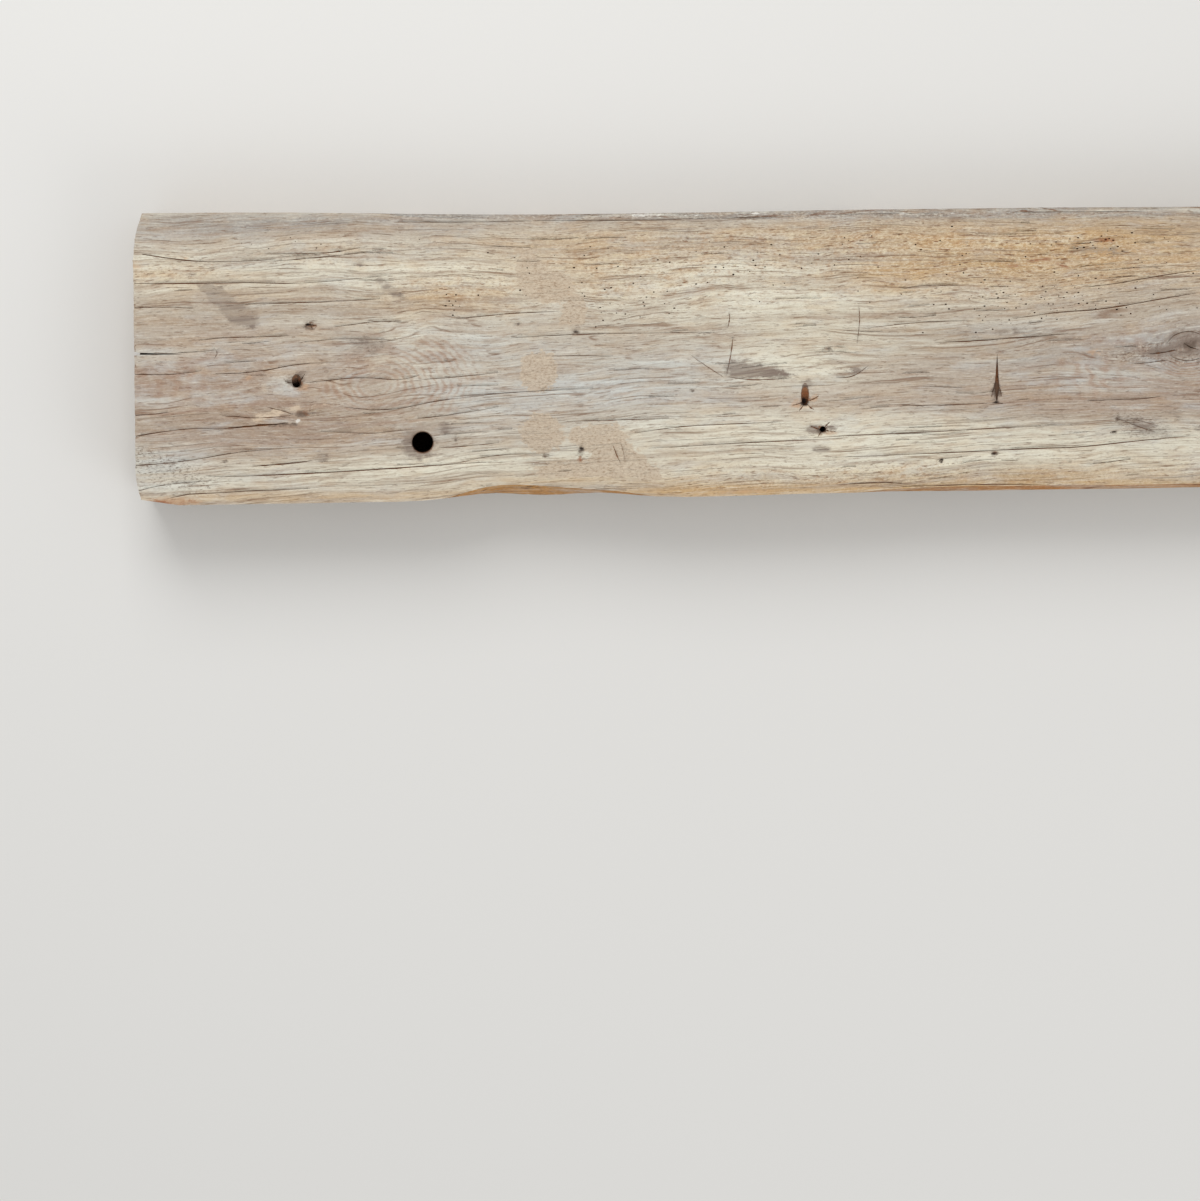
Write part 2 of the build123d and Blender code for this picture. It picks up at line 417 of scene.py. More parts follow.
# Tints of the face, by name: those up to worm are soft, and the rest have a ragged edge of their own
TINTS: dict[str, tuple[Stain, ...]] = {
    "pale": (
        Stain(560, 30, 560, 24, 0.9), Stain(330, 262, 330, 24, 0.8), Stain(700, 222, 260, 30, 0.7),
        Stain(760, 168, 90, 44, 1.3), Stain(1010, 205, 110, 12, 0.6), Stain(1000, 48, 320, 24, 0.9),
        Stain(30, 42, 56, 17, 1.0, -24), Stain(310, 160, 60, 36, 0.45), Stain(1150, 60, 120, 30, 0.6),
        Stain(900, 176, 60, 22, 0.6), Stain(640, 104, 90, 10, 0.6), Stain(260, 40, 260, 12, 0.4),
        Stain(660, 80, 160, 24, 0.7), Stain(900, 84, 140, 18, 0.8), Stain(168, 104, 26, 5, 1.0, 12),
        Stain(700, 262, 130, 20, 0.5), Stain(40, 262, 40, 26, 0.5), Stain(900, 262, 40, 26, 0.6),
        Stain(1700, 60, 420, 34, 0.8), Stain(2150, 250, 260, 30, 0.6), Stain(1500, 235, 200, 30, 0.4),
        Stain(312, 204, 20, 24, 0.5), Stain(800, 200, 70, 26, 0.5), Stain(740, 118, 60, 12, 0.5),
    ),
    "heart": (
        Stain(100, 130, 170, 60, 1.1), Stain(170, 80, 160, 24, 1.0), Stain(430, 118, 130, 26, 0.3),
        Stain(190, 310, 190, 10, 0.5), Stain(640, 112, 150, 12, 0.5), Stain(900, 112, 220, 22, 0.5),
        Stain(1150, 150, 150, 54, 1.0), Stain(1120, 105, 160, 22, 0.7), Stain(640, 284, 160, 9, 0.4),
        Stain(1550, 150, 330, 50, 0.7), Stain(2100, 140, 320, 60, 0.7), Stain(60, 205, 90, 18, 0.4),
        Stain(900, 150, 60, 20, 0.4),
    ),
    "ochre": (
        Stain(940, 272, 130, 34, 0.85), Stain(1130, 262, 160, 34, 0.6), Stain(540, 292, 150, 16, 0.35),
        Stain(1050, 310, 260, 12, 0.5), Stain(980, 14, 260, 14, 0.7), Stain(620, 12, 120, 9, 0.4),
        Stain(740, 296, 140, 12, 0.4), Stain(1400, 280, 260, 30, 0.5), Stain(1900, 20, 260, 18, 0.5),
        Stain(330, 225, 60, 12, 0.25), Stain(330, 8, 200, 7, 0.5), Stain(870, 250, 40, 16, 0.8),
        Stain(1045, 22, 60, 10, 0.5), Stain(120, 7, 120, 7, 0.7), Stain(480, 22, 120, 5, 0.7),
        Stain(500, 262, 110, 34, 0.4), Stain(345, 232, 60, 15, 0.5), Stain(1040, 4, 300, 6, 1.2),
        Stain(680, 5, 110, 6, 0.9), Stain(1150, 296, 120, 16, 0.5), Stain(60, 262, 60, 12, 0.4),
        Stain(120, 240, 90, 8, 0.3), Stain(650, 40, 60, 8, 0.3),
    ),
    "cool": (
        Stain(520, 128, 120, 34, 1.0), Stain(640, 150, 60, 20, 0.6), Stain(168, 136, 14, 8, 1.0),
        Stain(990, 188, 80, 8, 0.9), Stain(1010, 158, 90, 12, 0.4), Stain(420, 92, 50, 10, 0.6),
        Stain(30, 44, 50, 28, 0.7), Stain(1130, 132, 60, 14, 0.5), Stain(400, 178, 60, 20, 0.5),
        Stain(1840, 120, 200, 30, 0.6), Stain(1370, 90, 90, 22, 0.5), Stain(60, 310, 90, 9, 0.7),
        Stain(200, 318, 90, 6, 0.5), Stain(30, 170, 40, 7, 0.7), Stain(26, 118, 26, 6, 0.8),
        Stain(390, 116, 40, 16, 0.7), Stain(1085, 128, 20, 10, 0.8),
    ),
    "grey": (
        Stain(1090, 160, 120, 24, 0.5), Stain(352, 82, 14, 10, 0.8), Stain(960, 186, 90, 9, 0.7),
        Stain(1300, 170, 90, 30, 0.5), Stain(1985, 210, 40, 22, 0.9), Stain(90, 314, 110, 12, 1.0),
        Stain(240, 316, 100, 8, 0.7), Stain(34, 44, 40, 16, 0.4, -24),
        Stain(264, 178, 26, 12, 0.5), Stain(1184, 164, 50, 15, 1.0), Stain(620, 323, 300, 7, 1.7),
        Stain(1060, 323, 300, 7, 1.7), Stain(1225, 160, 40, 34, 0.6), Stain(1163, 75, 40, 14, 0.6, -16),
        Stain(130, 272, 60, 5, 0.5), Stain(200, 80, 120, 8, 0.4), Stain(640, 296, 60, 8, 0.4),
    ),
    "figure": (
        Stain(290, 144, 90, 50, 1.3), Stain(60, 140, 90, 44, 0.9), Stain(1215, 150, 90, 50, 1.2),
        Stain(170, 100, 110, 30, 0.5), Stain(1985, 200, 70, 46, 1.0), Stain(1090, 140, 60, 24, 0.6),
    ),
    "worm": (
        Stain(1030, 270, 190, 46, 1.0), Stain(600, 262, 190, 44, 0.85), Stain(370, 240, 90, 22, 0.5),
        Stain(1010, 20, 220, 14, 0.7), Stain(720, 22, 130, 14, 0.6), Stain(230, 282, 90, 16, 0.5),
        Stain(820, 290, 120, 26, 0.6), Stain(1500, 260, 260, 44, 0.7), Stain(2000, 250, 260, 40, 0.5),
        Stain(50, 264, 60, 14, 0.7), Stain(870, 26, 80, 12, 0.6),
    ),
    "tan": (
        Stain(460, 146, 19, 20, 1.7), Stain(450, 262, 16, 27, 0.9), Stain(478, 243, 26, 20, 0.95),
        Stain(505, 214, 11, 16, 1.1), Stain(462, 76, 23, 21, 1.4), Stain(538, 64, 22, 22, 1.4),
        Stain(558, 40, 26, 15, 1.25), Stain(496, 33, 46, 9, 1.1), Stain(588, 26, 15, 9, 0.9),
        Stain(508, 72, 12, 12, 0.9), Stain(490, 206, 8, 8, 0.7),
    ),
    "torn_light": (
        Stain(154, 102, 21, 4.6, 1.4, 14), Stain(186, 108, 10, 4, 0.8), Stain(769, 102.5, 8, 2.2, 0.9),
        Stain(214, 110, 16, 4, 0.4), Stain(787, 70, 7, 2.2, 0.7),
    ),
    "rough": (
        Stain(1222, 167, 32, 19, 1.8), Stain(1180, 160, 38, 10, 1.5), Stain(34, 40, 46, 14, 1.7, -24),
        Stain(16, 50, 18, 12, 1.2, -24), Stain(1148, 156, 30, 5, 1.2),
        Stain(1163, 75, 36, 14, 1.5, -16), Stain(198, 103, 11, 7, 1.2), Stain(202, 202, 11, 6, 1.2),
        Stain(212, 52, 14, 6, 1.1), Stain(266, 178, 22, 9, 0.8), Stain(1985, 210, 34, 18, 1.2),
        Stain(700, 322, 600, 5, 0.9), Stain(60, 30, 60, 22, 0.5), Stain(1118, 282, 40, 8, 0.6),
        Stain(176, 140, 10, 9, 1.0), Stain(1045, 176, 70, 5, 0.6), Stain(990, 128, 9, 16, 0.9),
    ),
    "torn": (
        Stain(758, 109, 6, 6, 1.0), Stain(778, 111, 6, 6, 1.0), Stain(754, 103, 8, 3, 0.9),
        Stain(796, 71, 8, 3, 1.0), Stain(191, 132, 7, 5, 1.1), Stain(40, 4, 36, 5, 1.4),
        Stain(700, 6, 40, 3, 0.8), Stain(128, 143, 8, 4, 0.7), Stain(1108, 161, 12, 4, 0.9),
        Stain(12, 270, 8, 3, 0.8), Stain(46, 262, 9, 3, 0.6), Stain(64, 278, 7, 2, 0.6),
    ),
    "smear": (
        Stain(108, 228, 27, 9, 1.7, -38), Stain(126, 213, 20, 11, 1.6, -20), Stain(94, 240, 12, 8, 1.5, -30),
        Stain(264, 179, 26, 12, 1.3), Stain(74, 256, 16, 3, 0.8, -56),
        Stain(294, 241, 24, 5, 1.7, -38), Stain(716, 143, 40, 8, 1.6, -6), Stain(690, 149, 12, 11, 1.3),
        Stain(826, 142, 20, 7, 1.0, 14), Stain(1163, 75, 28, 8, 1.3, -16), Stain(1221, 167, 30, 15, 1.6),
        Stain(1204, 89, 14, 4, 1.1, -20), Stain(1234, 72, 10, 4, 1.2), Stain(192, 147, 8, 4, 1.3),
        Stain(786, 53, 11, 4, 1.9, -8), Stain(1000, 186, 60, 4, 1.1, 3), Stain(211, 52, 13, 5, 1.3, 8),
        Stain(1118, 278, 46, 5, 1.1, -4), Stain(1985, 210, 30, 15, 1.4), Stain(352, 84, 9, 7, 1.4, -30),
        Stain(258, 272, 9, 5, 1.2, 20), Stain(321, 66, 18, 17, 2.4), Stain(769, 129, 6, 5, 1.5),
        Stain(778, 77, 12, 7, 1.5), Stain(798, 78, 8, 4, 1.2), Stain(210, 105, 12, 4, 1.0, 8),
        Stain(1184, 160, 26, 7, 1.3), Stain(1205, 178, 18, 5, 1.0, 16), Stain(992, 118, 8, 13, 1.3),
    ),
    "rust": (
        Stain(769, 117, 3.4, 5, 0.7), Stain(187, 141, 3, 3, 0.5), Stain(1118, 290, 10, 2.6, 1.3),
        Stain(506, 46, 3, 3, 0.8), Stain(26, 3, 22, 3.2, 1.1), Stain(62, 5, 10, 2, 0.6),
        Stain(1040, 268, 14, 2, 0.9, 8), Stain(1066, 262, 12, 2, 0.8, -20), Stain(1010, 262, 10, 2, 0.7),
    ),
    # Painted shade: near black on the floors of the dents and nail holes and in the gash's slit
    "pit_shade": (
        Stain(767.5, 108, 4.6, 3.8, 1.2), Stain(184, 135, 4.6, 3.2, 1.2), Stain(199, 203, 3.6, 2, 0.9),
        Stain(206, 201, 3, 1.8, 0.8), Stain(788.5, 76, 3.6, 3.6, 1.0), Stain(928, 37, 2.2, 2, 1.0),
        Stain(990, 45, 3.6, 1.3, 0.8), Stain(503, 191, 2.2, 1.4, 0.8), Stain(437, 201, 2, 1.3, 0.7),
        Stain(508, 58, 2, 2.6, 0.8), Stain(467, 50, 2, 1.2, 0.7), Stain(791, 169, 2, 1.4, 0.8),
        Stain(797, 168, 2, 1.4, 0.8), Stain(1137, 84, 2, 1.6, 0.7), Stain(992, 105, 3, 1.6, 0.8),
        Stain(1131, 68, 4, 1.1, 0.8), Stain(993, 128, 1.4, 9, 1.1),
    ),
    # Darker spots over the dents and holes, and a few more
    "dark_spots": (
        Stain(788, 76, 7, 6, 0.9), Stain(767, 107, 6, 4, 0.8), Stain(202, 202, 9, 4.5, 0.9),
        Stain(184, 134, 7, 4, 0.9), Stain(188, 143, 8, 6, 1.0), Stain(178, 138, 6, 3, 0.8),
        Stain(100, 49, 5, 2, 0.7), Stain(992, 118, 4.4, 13, 1.4),
        Stain(768, 126, 3.4, 3, 0.7),
        Stain(794, 168, 7, 3.4, 1.0), Stain(192, 102, 9, 5, 0.9), Stain(437, 201, 5, 2.8, 0.9),
        Stain(503, 191, 5, 3, 0.8), Stain(467, 50, 5, 3, 1.1), Stain(507, 54, 4, 8, 0.9),
        Stain(364, 71, 3, 4, 0.9), Stain(991, 45, 6, 2.6, 1.1), Stain(928, 37, 3, 3, 0.9),
        Stain(1042, 33, 5, 3, 0.8), Stain(1081, 35, 4, 2.6, 0.8), Stain(1132, 67, 6, 2.2, 0.7),
        Stain(1137, 84, 4, 3, 0.9), Stain(1221, 167, 13, 7, 0.9), Stain(1985, 210, 14, 8, 0.8),
        Stain(326, 67.5, 13, 13, 0.9), Stain(168, 90, 26, 3, 0.8, 4),
        Stain(84, 222, 3, 2, 0.7), Stain(46, 200, 3, 2, 0.6), Stain(636, 123, 3, 2, 0.8),
    ),
    "chalk": (
        Stain(185, 94, 2.8, 2.4, 1.5), Stain(578, 322.5, 21, 1.5, 1.1), Stain(713, 323.5, 9, 1.4, 0.9),
        Stain(452, 41, 1.8, 1.6, 0.9), Stain(582, 32, 4, 2, 0.8), Stain(640, 322, 14, 1.2, 0.7),
        Stain(880, 322, 9, 1.4, 0.8), Stain(940, 322, 5, 1.2, 0.7),
    ),
}
FINE_TINTS = ("torn_light", "torn", "rust", "pit_shade", "dark_spots", "chalk")

# Patches of the face that the worm has eaten, as a stain and how many holes it holds
WORM_PATCHES = (
    (Stain(1030, 222, 120, 20), 90), (Stain(1112, 290, 40, 12), 26), (Stain(560, 235, 60, 34), 36),
    (Stain(190, 292, 50, 8), 8), (Stain(368, 226, 24, 10), 10), (Stain(700, 270, 200, 34), 40),
    (Stain(900, 280, 160, 30), 36), (Stain(1300, 250, 180, 40), 40), (Stain(1800, 255, 300, 40), 40),
)


class Wiring:
    """Adds shader nodes to a tree and links them."""

    def __init__(self, tree: bpy.types.NodeTree) -> None:
        """Keeps the tree to work on."""
        self.tree = tree

    def node(self, kind: str, ins: dict[Any, Any] | None = None, **props: Any) -> bpy.types.Node:
        """Adds a node.

        Args:
            kind: The node's type.
            ins: Values or sockets, by the input's name or index.
            props: Settings of the node itself.

        Returns:
            The node.
        """
        node = self.tree.nodes.new(kind)
        for name, value in props.items():
            setattr(node, name, value)
        for key, value in (ins or {}).items():
            if isinstance(value, bpy.types.NodeSocket):
                self.tree.links.new(value, node.inputs[key])
            else:
                node.inputs[key].default_value = value
        return node

    def add(self, kind: str, ins: dict[Any, Any] | None = None, out: Any = 0, **props: Any) -> Socket:
        """Adds a node and returns one of its outputs, by name or index."""
        return self.node(kind, ins, **props).outputs[out]

    def math(self, operation: str, *terms: Any, clamp: bool = False) -> Socket:
        """One Math node."""
        return self.add("ShaderNodeMath", dict(enumerate(terms)), operation=operation, use_clamp=clamp)

    def times(self, first: Any, second: Any) -> Socket:
        """Product of two values."""
        return self.math("MULTIPLY", first, second)

    def minus(self, value: Socket) -> Socket:
        """A value with its sign turned."""
        return self.times(value, -1.0)

    def vector(self, operation: str, *terms: Any) -> Socket:
        """One Vector Math node."""
        return self.add("ShaderNodeVectorMath", dict(enumerate(terms)), operation=operation)

    def noise(self, place: Socket, detail: float, rough: float) -> Socket:
        """Noise of unit scale at a place that is already stretched."""
        values = {"Vector": place, "Scale": 1.0, "Detail": detail, "Roughness": rough}
        return self.add("ShaderNodeTexNoise", values)

    def rise(self, value: Any, low: float, high: float) -> Socket:
        """Smooth rise from 0 to 1 as the value goes from low to high."""
        values = {"Value": value, "From Min": low, "From Max": high}
        return self.add("ShaderNodeMapRange", values, interpolation_type="SMOOTHSTEP")

    def paint(self, share: Any, under: Any, over: Any) -> Socket:
        """Mixes a colour over another."""
        return self.add("ShaderNodeMix", {0: share, 6: under, 7: over}, 2, data_type="RGBA")

    def tint(self, name: str) -> Socket:
        """Reads one of the body's tints."""
        return self.add("ShaderNodeAttribute", out="Fac", attribute_name=name)

    def group(self, tree: bpy.types.NodeTree, ins: dict[str, Any]) -> Any:
        """Places a group, fills its inputs by name and returns its outputs."""
        return self.node("ShaderNodeGroup", ins, node_tree=tree).outputs

    def give(self, outputs: dict[str, Socket]) -> bpy.types.NodeTree:
        """Ends a group: adds an output of its own kind for each value, by name, and links it.

        Args:
            outputs: The values.

        Returns:
            The group.
        """
        for name, value in outputs.items():
            kind = "NodeSocketColor" if value.type == "RGBA" else "NodeSocketFloat"
            self.tree.interface.new_socket(name, in_out="OUTPUT", socket_type=kind)
        self.node("NodeGroupOutput", outputs)
        return self.tree


def start_group(name: str, takes: dict[str, str]) -> tuple[Wiring, Any]:
    """Starts a shader node group.

    Args:
        name: The group's name.
        takes: Kind of each input, by name.

    Returns:
        The group's wiring and its inputs.
    """
    tree = bpy.data.node_groups.new(name, "ShaderNodeTree")
    for label, kind in takes.items():
        tree.interface.new_socket(label, in_out="INPUT", socket_type=kind)
    return Wiring(tree), tree.nodes.new("NodeGroupInput").outputs


@dataclass(frozen=True)
class GrainEffect:
    """The grain of the log, in a place carried back to where it would be in a straight log.

    Args:
        pith_height: Height of the pith across the face, in metres from the middle.
        pith_depth: Height of the pith above the back face, in metres.
        rings_per_metre: Yearly rings in a metre outwards from the pith.
        sway: Most that the fibres sway from their line, in metres.
    """

    pith_height: float = (PITH[0] - FACE_MIDDLE) * MM
    pith_depth: float = PITH[1] * MM
    rings_per_metre: float = 250.0
    sway: float = 0.005

    def make(self) -> bpy.types.NodeTree:
        """Builds the group.

        Returns:
            The group, with the masks of the bands, grain lines, fibres and pores, and the relief.
        """
        w, takes = start_group("log grain", {"Place": "NodeSocketVector"})
        sway = w.noise(w.vector("MULTIPLY", takes["Place"], (12, 34, 34)), 3, 0.5)
        shift = w.times(w.math("SUBTRACT", sway, 0.5), self.sway)
        bend = w.add("ShaderNodeCombineXYZ", {0: 0.0, 1: shift, 2: shift})
        place = w.vector("ADD", takes["Place"], bend)
        split = w.node("ShaderNodeSeparateXYZ", {0: place}).outputs
        from_pith_y = w.math("SUBTRACT", split[1], self.pith_height)
        from_pith_z = w.math("SUBTRACT", split[2], self.pith_depth)
        square_z = w.times(from_pith_z, from_pith_z)
        ring = w.math("SQRT", w.math("MULTIPLY_ADD", from_pith_y, from_pith_y, square_z))
        turn = w.math("ARCTAN2", from_pith_y, from_pith_z)
        run = w.add("ShaderNodeCombineXYZ", {0: split[0], 1: ring, 2: turn})

        def in_rings(along: float, out: float, round_: float) -> Socket:
            """Place in the log's rings, scaled along, outwards and round the log."""
            return w.vector("MULTIPLY", run, (along, out, round_))

        def in_fibres(along: float, across: float) -> Socket:
            """Place scaled along and across the grain."""
            return w.vector("MULTIPLY", place, (along, across, across))

        wobble = w.times(w.noise(in_fibres(30, 60), 3, 0.6), 5.0)
        phase = w.math("MULTIPLY_ADD", ring, self.rings_per_metre * math.tau, wobble)
        broken = w.rise(w.noise(in_fibres(44, 90), 3, 0.6), 0.34, 0.62)
        streak = w.noise(in_fibres(6.0, 185), 4, 0.6)
        vein = w.noise(in_rings(3.2, 330, 6), 1, 0.5)
        ridge = w.math("ABSOLUTE", w.math("SUBTRACT", vein, 0.5))
        thin = w.math("SUBTRACT", 1.0, w.rise(ridge, 0.0, 0.035))
        gate = w.rise(w.noise(in_fibres(9, 120), 3, 0.6), 0.48, 0.6)
        lines = w.times(thin, gate)
        fibre = w.noise(in_fibres(34, 640), 4, 0.66)
        tick = w.rise(w.noise(in_fibres(80, 560), 2, 0.5), 0.62, 0.7)
        fleck = w.noise(in_fibres(260, 560), 3, 0.7)
        relief = w.math("MULTIPLY_ADD", streak, 0.5, w.times(fibre, 0.6))
        for mask, depth in ((lines, -0.4), (tick, -0.35), (fleck, 0.3)):
            relief = w.math("MULTIPLY_ADD", mask, depth, relief)
        return w.give({
            "Band": w.noise(in_rings(1.6, 120, 2.2), 3, 0.55),
            "Ring": w.times(w.rise(w.math("SINE", phase), -0.2, 1.0), broken),
            "Streak": streak,
            "Smudge": w.rise(w.noise(in_fibres(21, 210), 3, 0.55), 0.55, 0.7),
            "Warm": w.rise(w.noise(in_fibres(24, 74), 4, 0.6), 0.46, 0.66),
            "Cool": w.rise(w.noise(in_fibres(17, 58), 4, 0.6), 0.5, 0.68),
            "Line": lines,
            "Fibre": fibre,
            "Tick": tick,
            "Fleck": fleck,
            "Clump": w.noise(in_fibres(90, 130), 5, 0.66),
            "Curl": w.noise(in_fibres(26, 62), 3, 0.55),
            "Broken": broken,
            "Relief": relief,
        })


# Colours laid over the timber, as a screen shows them
SHADES: dict[str, Shade] = {
    "cool": (200, 203, 199), "grey": (158, 152, 145),
    "dark band": (160, 140, 118), "pale band": (220, 218, 203),
    "warm haze": (198, 160, 112), "cool haze": (190, 191, 189),
    "meal": (222, 208, 174), "crust": (172, 128, 84),
    "dark streak": (146, 121, 99), "pale streak": (228, 225, 211), "smudge": (152, 122, 98),
    "year": (150, 120, 102), "dark ring": (160, 126, 107), "pale ring": (198, 196, 190),
    "dark fibre": (138, 110, 85), "pale fibre": (232, 228, 214), "dark grit": (144, 110, 76),
    "pale grit": (230, 218, 192), "tick": (124, 78, 46), "line": (122, 86, 60), "tan": (190, 172, 150),
    "pale dust": (214, 200, 178), "dark dust": (148, 122, 98), "dark rag": (108, 92, 79),
    "pale rag": (206, 202, 190), "smear": (130, 115, 104), "torn": (192, 152, 116),
    # The shades for depth under the face and for the pits and hollows are painted shade
    "torn_light": (220, 200, 174), "shallow painted shade": (146, 96, 60), "deep painted shade": (96, 60, 36),
    "dark_spots": (92, 76, 64), "rust": (146, 88, 54), "chalk": (228, 225, 217), "pit_shade": (34, 26, 22),
    "deepest painted shade": (30, 21, 16),
}


class Coats:
    """Coats of colour on one surface of the timber, laid one over another."""

    def __init__(self, wiring: Wiring, cut: Any, shades: dict[str, Shade]) -> None:
        """Makes the masks that several coats share.

        Args:
            wiring: Wiring of the material.
            cut: Outputs of the grain's group, as the surface cuts it.
            shades: Colours by name.
        """
        w = self.w = wiring
        self.cut = cut
        self.shades = shades
        self.colour: Any = tone(*shades["ground"])
        self.uneven = w.math("SUBTRACT", cut["Band"], 0.5)
        self.streak = w.math("SUBTRACT", cut["Streak"], 0.5)
        self.grit = w.math("SUBTRACT", cut["Fleck"], 0.5)
        self.clump = w.math("SUBTRACT", cut["Clump"], 0.5)
        self.shift = w.math("MULTIPLY_ADD", self.uneven, 1.4, w.times(self.streak, 1.6))
        self.ragged = w.math("MULTIPLY_ADD", self.clump, 2.6, self.grit)
        self.brown = self.soft("heart")
        self.worm = self.soft("worm")
        self.figure = w.rise(w.tint("figure"), 0.1, 0.7)
        self.calm = w.math("MULTIPLY_ADD", self.figure, -0.68, 1.0)
        self.tan = self.crisp("tan", 0.41, 0.51, 0.5)
        self.bare = w.math("MULTIPLY_ADD", self.tan, -0.88, 1.0)
        self.dark_grit = w.rise(w.minus(self.grit), 0.02, 0.16)
        self.pale_grit = w.rise(self.grit, 0.02, 0.14)

    def soft(self, name: str) -> Socket:
        """A soft tint's share, with its edge drawn out along the grain."""
        value = self.w.tint(name)
        return self.w.math("MULTIPLY_ADD", self.shift, self.w.rise(value, 0.0, 0.5), value, clamp=True)

    def crisp(self, name: str, low: float, high: float, rag: float = 1.0) -> Socket:
        """A tint's share inside a ragged edge of its own."""
        value = self.w.tint(name)
        torn_by = self.w.times(self.w.rise(value, 0.0, 0.3), rag)
        return self.w.rise(self.w.math("MULTIPLY_ADD", self.ragged, torn_by, value), low, high)

    def by_worm(self, gain: float, least: float) -> Socket:
        """A strength that grows where the worm has eaten."""
        return self.w.math("MULTIPLY_ADD", self.worm, gain, least)

    def lay(self, share: Any, strength: Any, shade: str) -> None:
        """Lays a colour over what is there."""
        covered = self.w.math("MULTIPLY", share, strength, clamp=True)
        self.colour = self.w.paint(covered, self.colour, tone(*self.shades[shade]))

    def mark(self, name: str, low: float, high: float, strength: float) -> None:
        """Lays a ragged tint in the colour of the same name."""
        self.lay(self.crisp(name, low, high), strength, name)

    def lay_ground(self) -> None:
        """Lays the sapwood, the heartwood and the broad stains."""
        self.lay(self.soft("pale"), 1.0, "pale")
        self.lay(self.brown, 1.0, "heart")
        self.lay(self.soft("ochre"), 1.0, "ochre")
        self.lay(self.soft("cool"), 0.9, "cool")
        self.lay(self.soft("grey"), 0.9, "grey")

    def lay_bands(self) -> None:
        """Lays the bands along the rings, the hazes over them and what the worm leaves."""
        w = self.w
        self.lay(w.rise(w.minus(self.uneven), 0.0, 0.2), 0.26, "dark band")
        self.lay(w.rise(self.uneven, 0.0, 0.2), 0.26, "pale band")
        self.lay(self.cut["Warm"], self.by_worm(0.3, 0.16), "warm haze")
        self.lay(self.cut["Cool"], w.math("MULTIPLY_ADD", self.brown, 0.26, 0.26), "cool haze")
        self.lay(w.times(w.rise(self.clump, 0.0, 0.16), self.worm), 0.46, "meal")
        self.lay(w.times(w.rise(w.minus(self.clump), 0.02, 0.16), self.worm), 0.5, "crust")

    def lay_streaks(self, streak_share: float, year_share: float) -> None:
        """Lays the streaks along the grain and the yearly rings.

        Args:
            streak_share: How strongly the streaks colour the timber.
            year_share: How strongly the yearly rings do.
        """
        w = self.w
        dark = w.times(w.rise(w.minus(self.streak), 0.02, 0.2), self.calm)
        pale = w.times(w.rise(self.streak, 0.02, 0.2), self.calm)
        self.lay(dark, 0.38 * streak_share, "dark streak")
        self.lay(pale, 0.36 * streak_share, "pale streak")
        self.lay(w.times(self.cut["Smudge"], self.calm), 0.36 * streak_share, "smudge")
        years = w.math("MULTIPLY_ADD", self.figure, 0.3, year_share)
        self.lay(w.times(self.cut["Ring"], years), 1.0, "year")

    def lay_figure(self) -> None:
        """Lays the rings round the grown-over branches."""
        w = self.w
        turns = w.tint("rings")
        shown = w.times(w.rise(w.tint("ringed"), 0.05, 0.9), w.rise(turns, 0.6, 2.6))
        shown = w.times(shown, w.rise(self.cut["Broken"], -0.4, 0.9))
        curl = w.times(w.math("SUBTRACT", self.cut["Curl"], 0.5), 13.0)
        wave = w.math("SINE", w.math("MULTIPLY_ADD", turns, math.tau, curl))
        self.lay(w.times(w.rise(wave, 0.0, 0.95), shown), 0.42, "dark ring")
        self.lay(w.times(w.rise(w.minus(wave), 0.1, 0.95), shown), 0.24, "pale ring")

    def lay_fibres(self, line_share: float) -> None:
        """Lays the fibres, the grit, the pores and the grain lines.

        Args:
            line_share: How strongly the grain lines colour the timber.
        """
        w = self.w
        self.lay(w.times(w.rise(self.cut["Fibre"], 0.5, 0.3), self.bare), 0.44, "dark fibre")
        self.lay(w.rise(self.cut["Fibre"], 0.54, 0.7), 0.38, "pale fibre")
        self.lay(self.dark_grit, self.by_worm(0.36, 0.16), "dark grit")
        self.lay(self.pale_grit, self.by_worm(0.36, 0.14), "pale grit")
        ticks = w.times(self.cut["Tick"], self.by_worm(0.56, 0.36))
        self.lay(w.times(ticks, self.bare), 0.9, "tick")
        self.lay(w.times(self.cut["Line"], self.bare), line_share, "line")

    def lay_sanding(self) -> None:
        """Lays the sanded patches."""
        self.lay(self.tan, 0.8, "tan")
        self.lay(self.w.times(self.pale_grit, self.tan), 0.5, "pale dust")
        self.lay(self.w.times(self.dark_grit, self.tan), 0.62, "dark dust")

    def lay_marks(self) -> None:
        """Lays the rough and torn places and the stains, and paints shade on what lies under the face and in
        the pits.
        """
        w = self.w
        rough = self.crisp("rough", 0.3, 0.9)
        self.lay(w.times(self.dark_grit, rough), 0.72, "dark rag")
        self.lay(w.times(self.pale_grit, rough), 0.34, "pale rag")
        drawn = w.math("MULTIPLY_ADD", self.streak, 3.4, 0.86)
        self.lay(w.times(self.crisp("smear", 0.36, 1.2), drawn), 0.72, "smear")
        self.mark("torn", 0.3, 1.0, 0.5)
        self.mark("torn_light", 0.3, 1.0, 0.66)
        # Painted shade: the deeper a place lies under the face, the darker the brown laid on it
        sunk = w.tint("sunk")
        self.lay(w.rise(sunk, 0.15, 1.2), 0.85, "shallow painted shade")
        self.lay(w.rise(sunk, 2.0, 7.0), 0.8, "deep painted shade")
        # Darkens the dents and holes
        self.mark("dark_spots", 0.2, 0.95, 0.76)
        self.mark("rust", 0.15, 0.9, 0.8)
        self.mark("chalk", 0.4, 0.8, 0.7)
        # Painted shade in the pits
        self.mark("pit_shade", 0.2, 0.9, 0.92)
        # Painted shade: near black in the deepest hollows, such as the peg hole
        self.lay(w.rise(sunk, 8.0, 20.0), 0.9, "deepest painted shade")


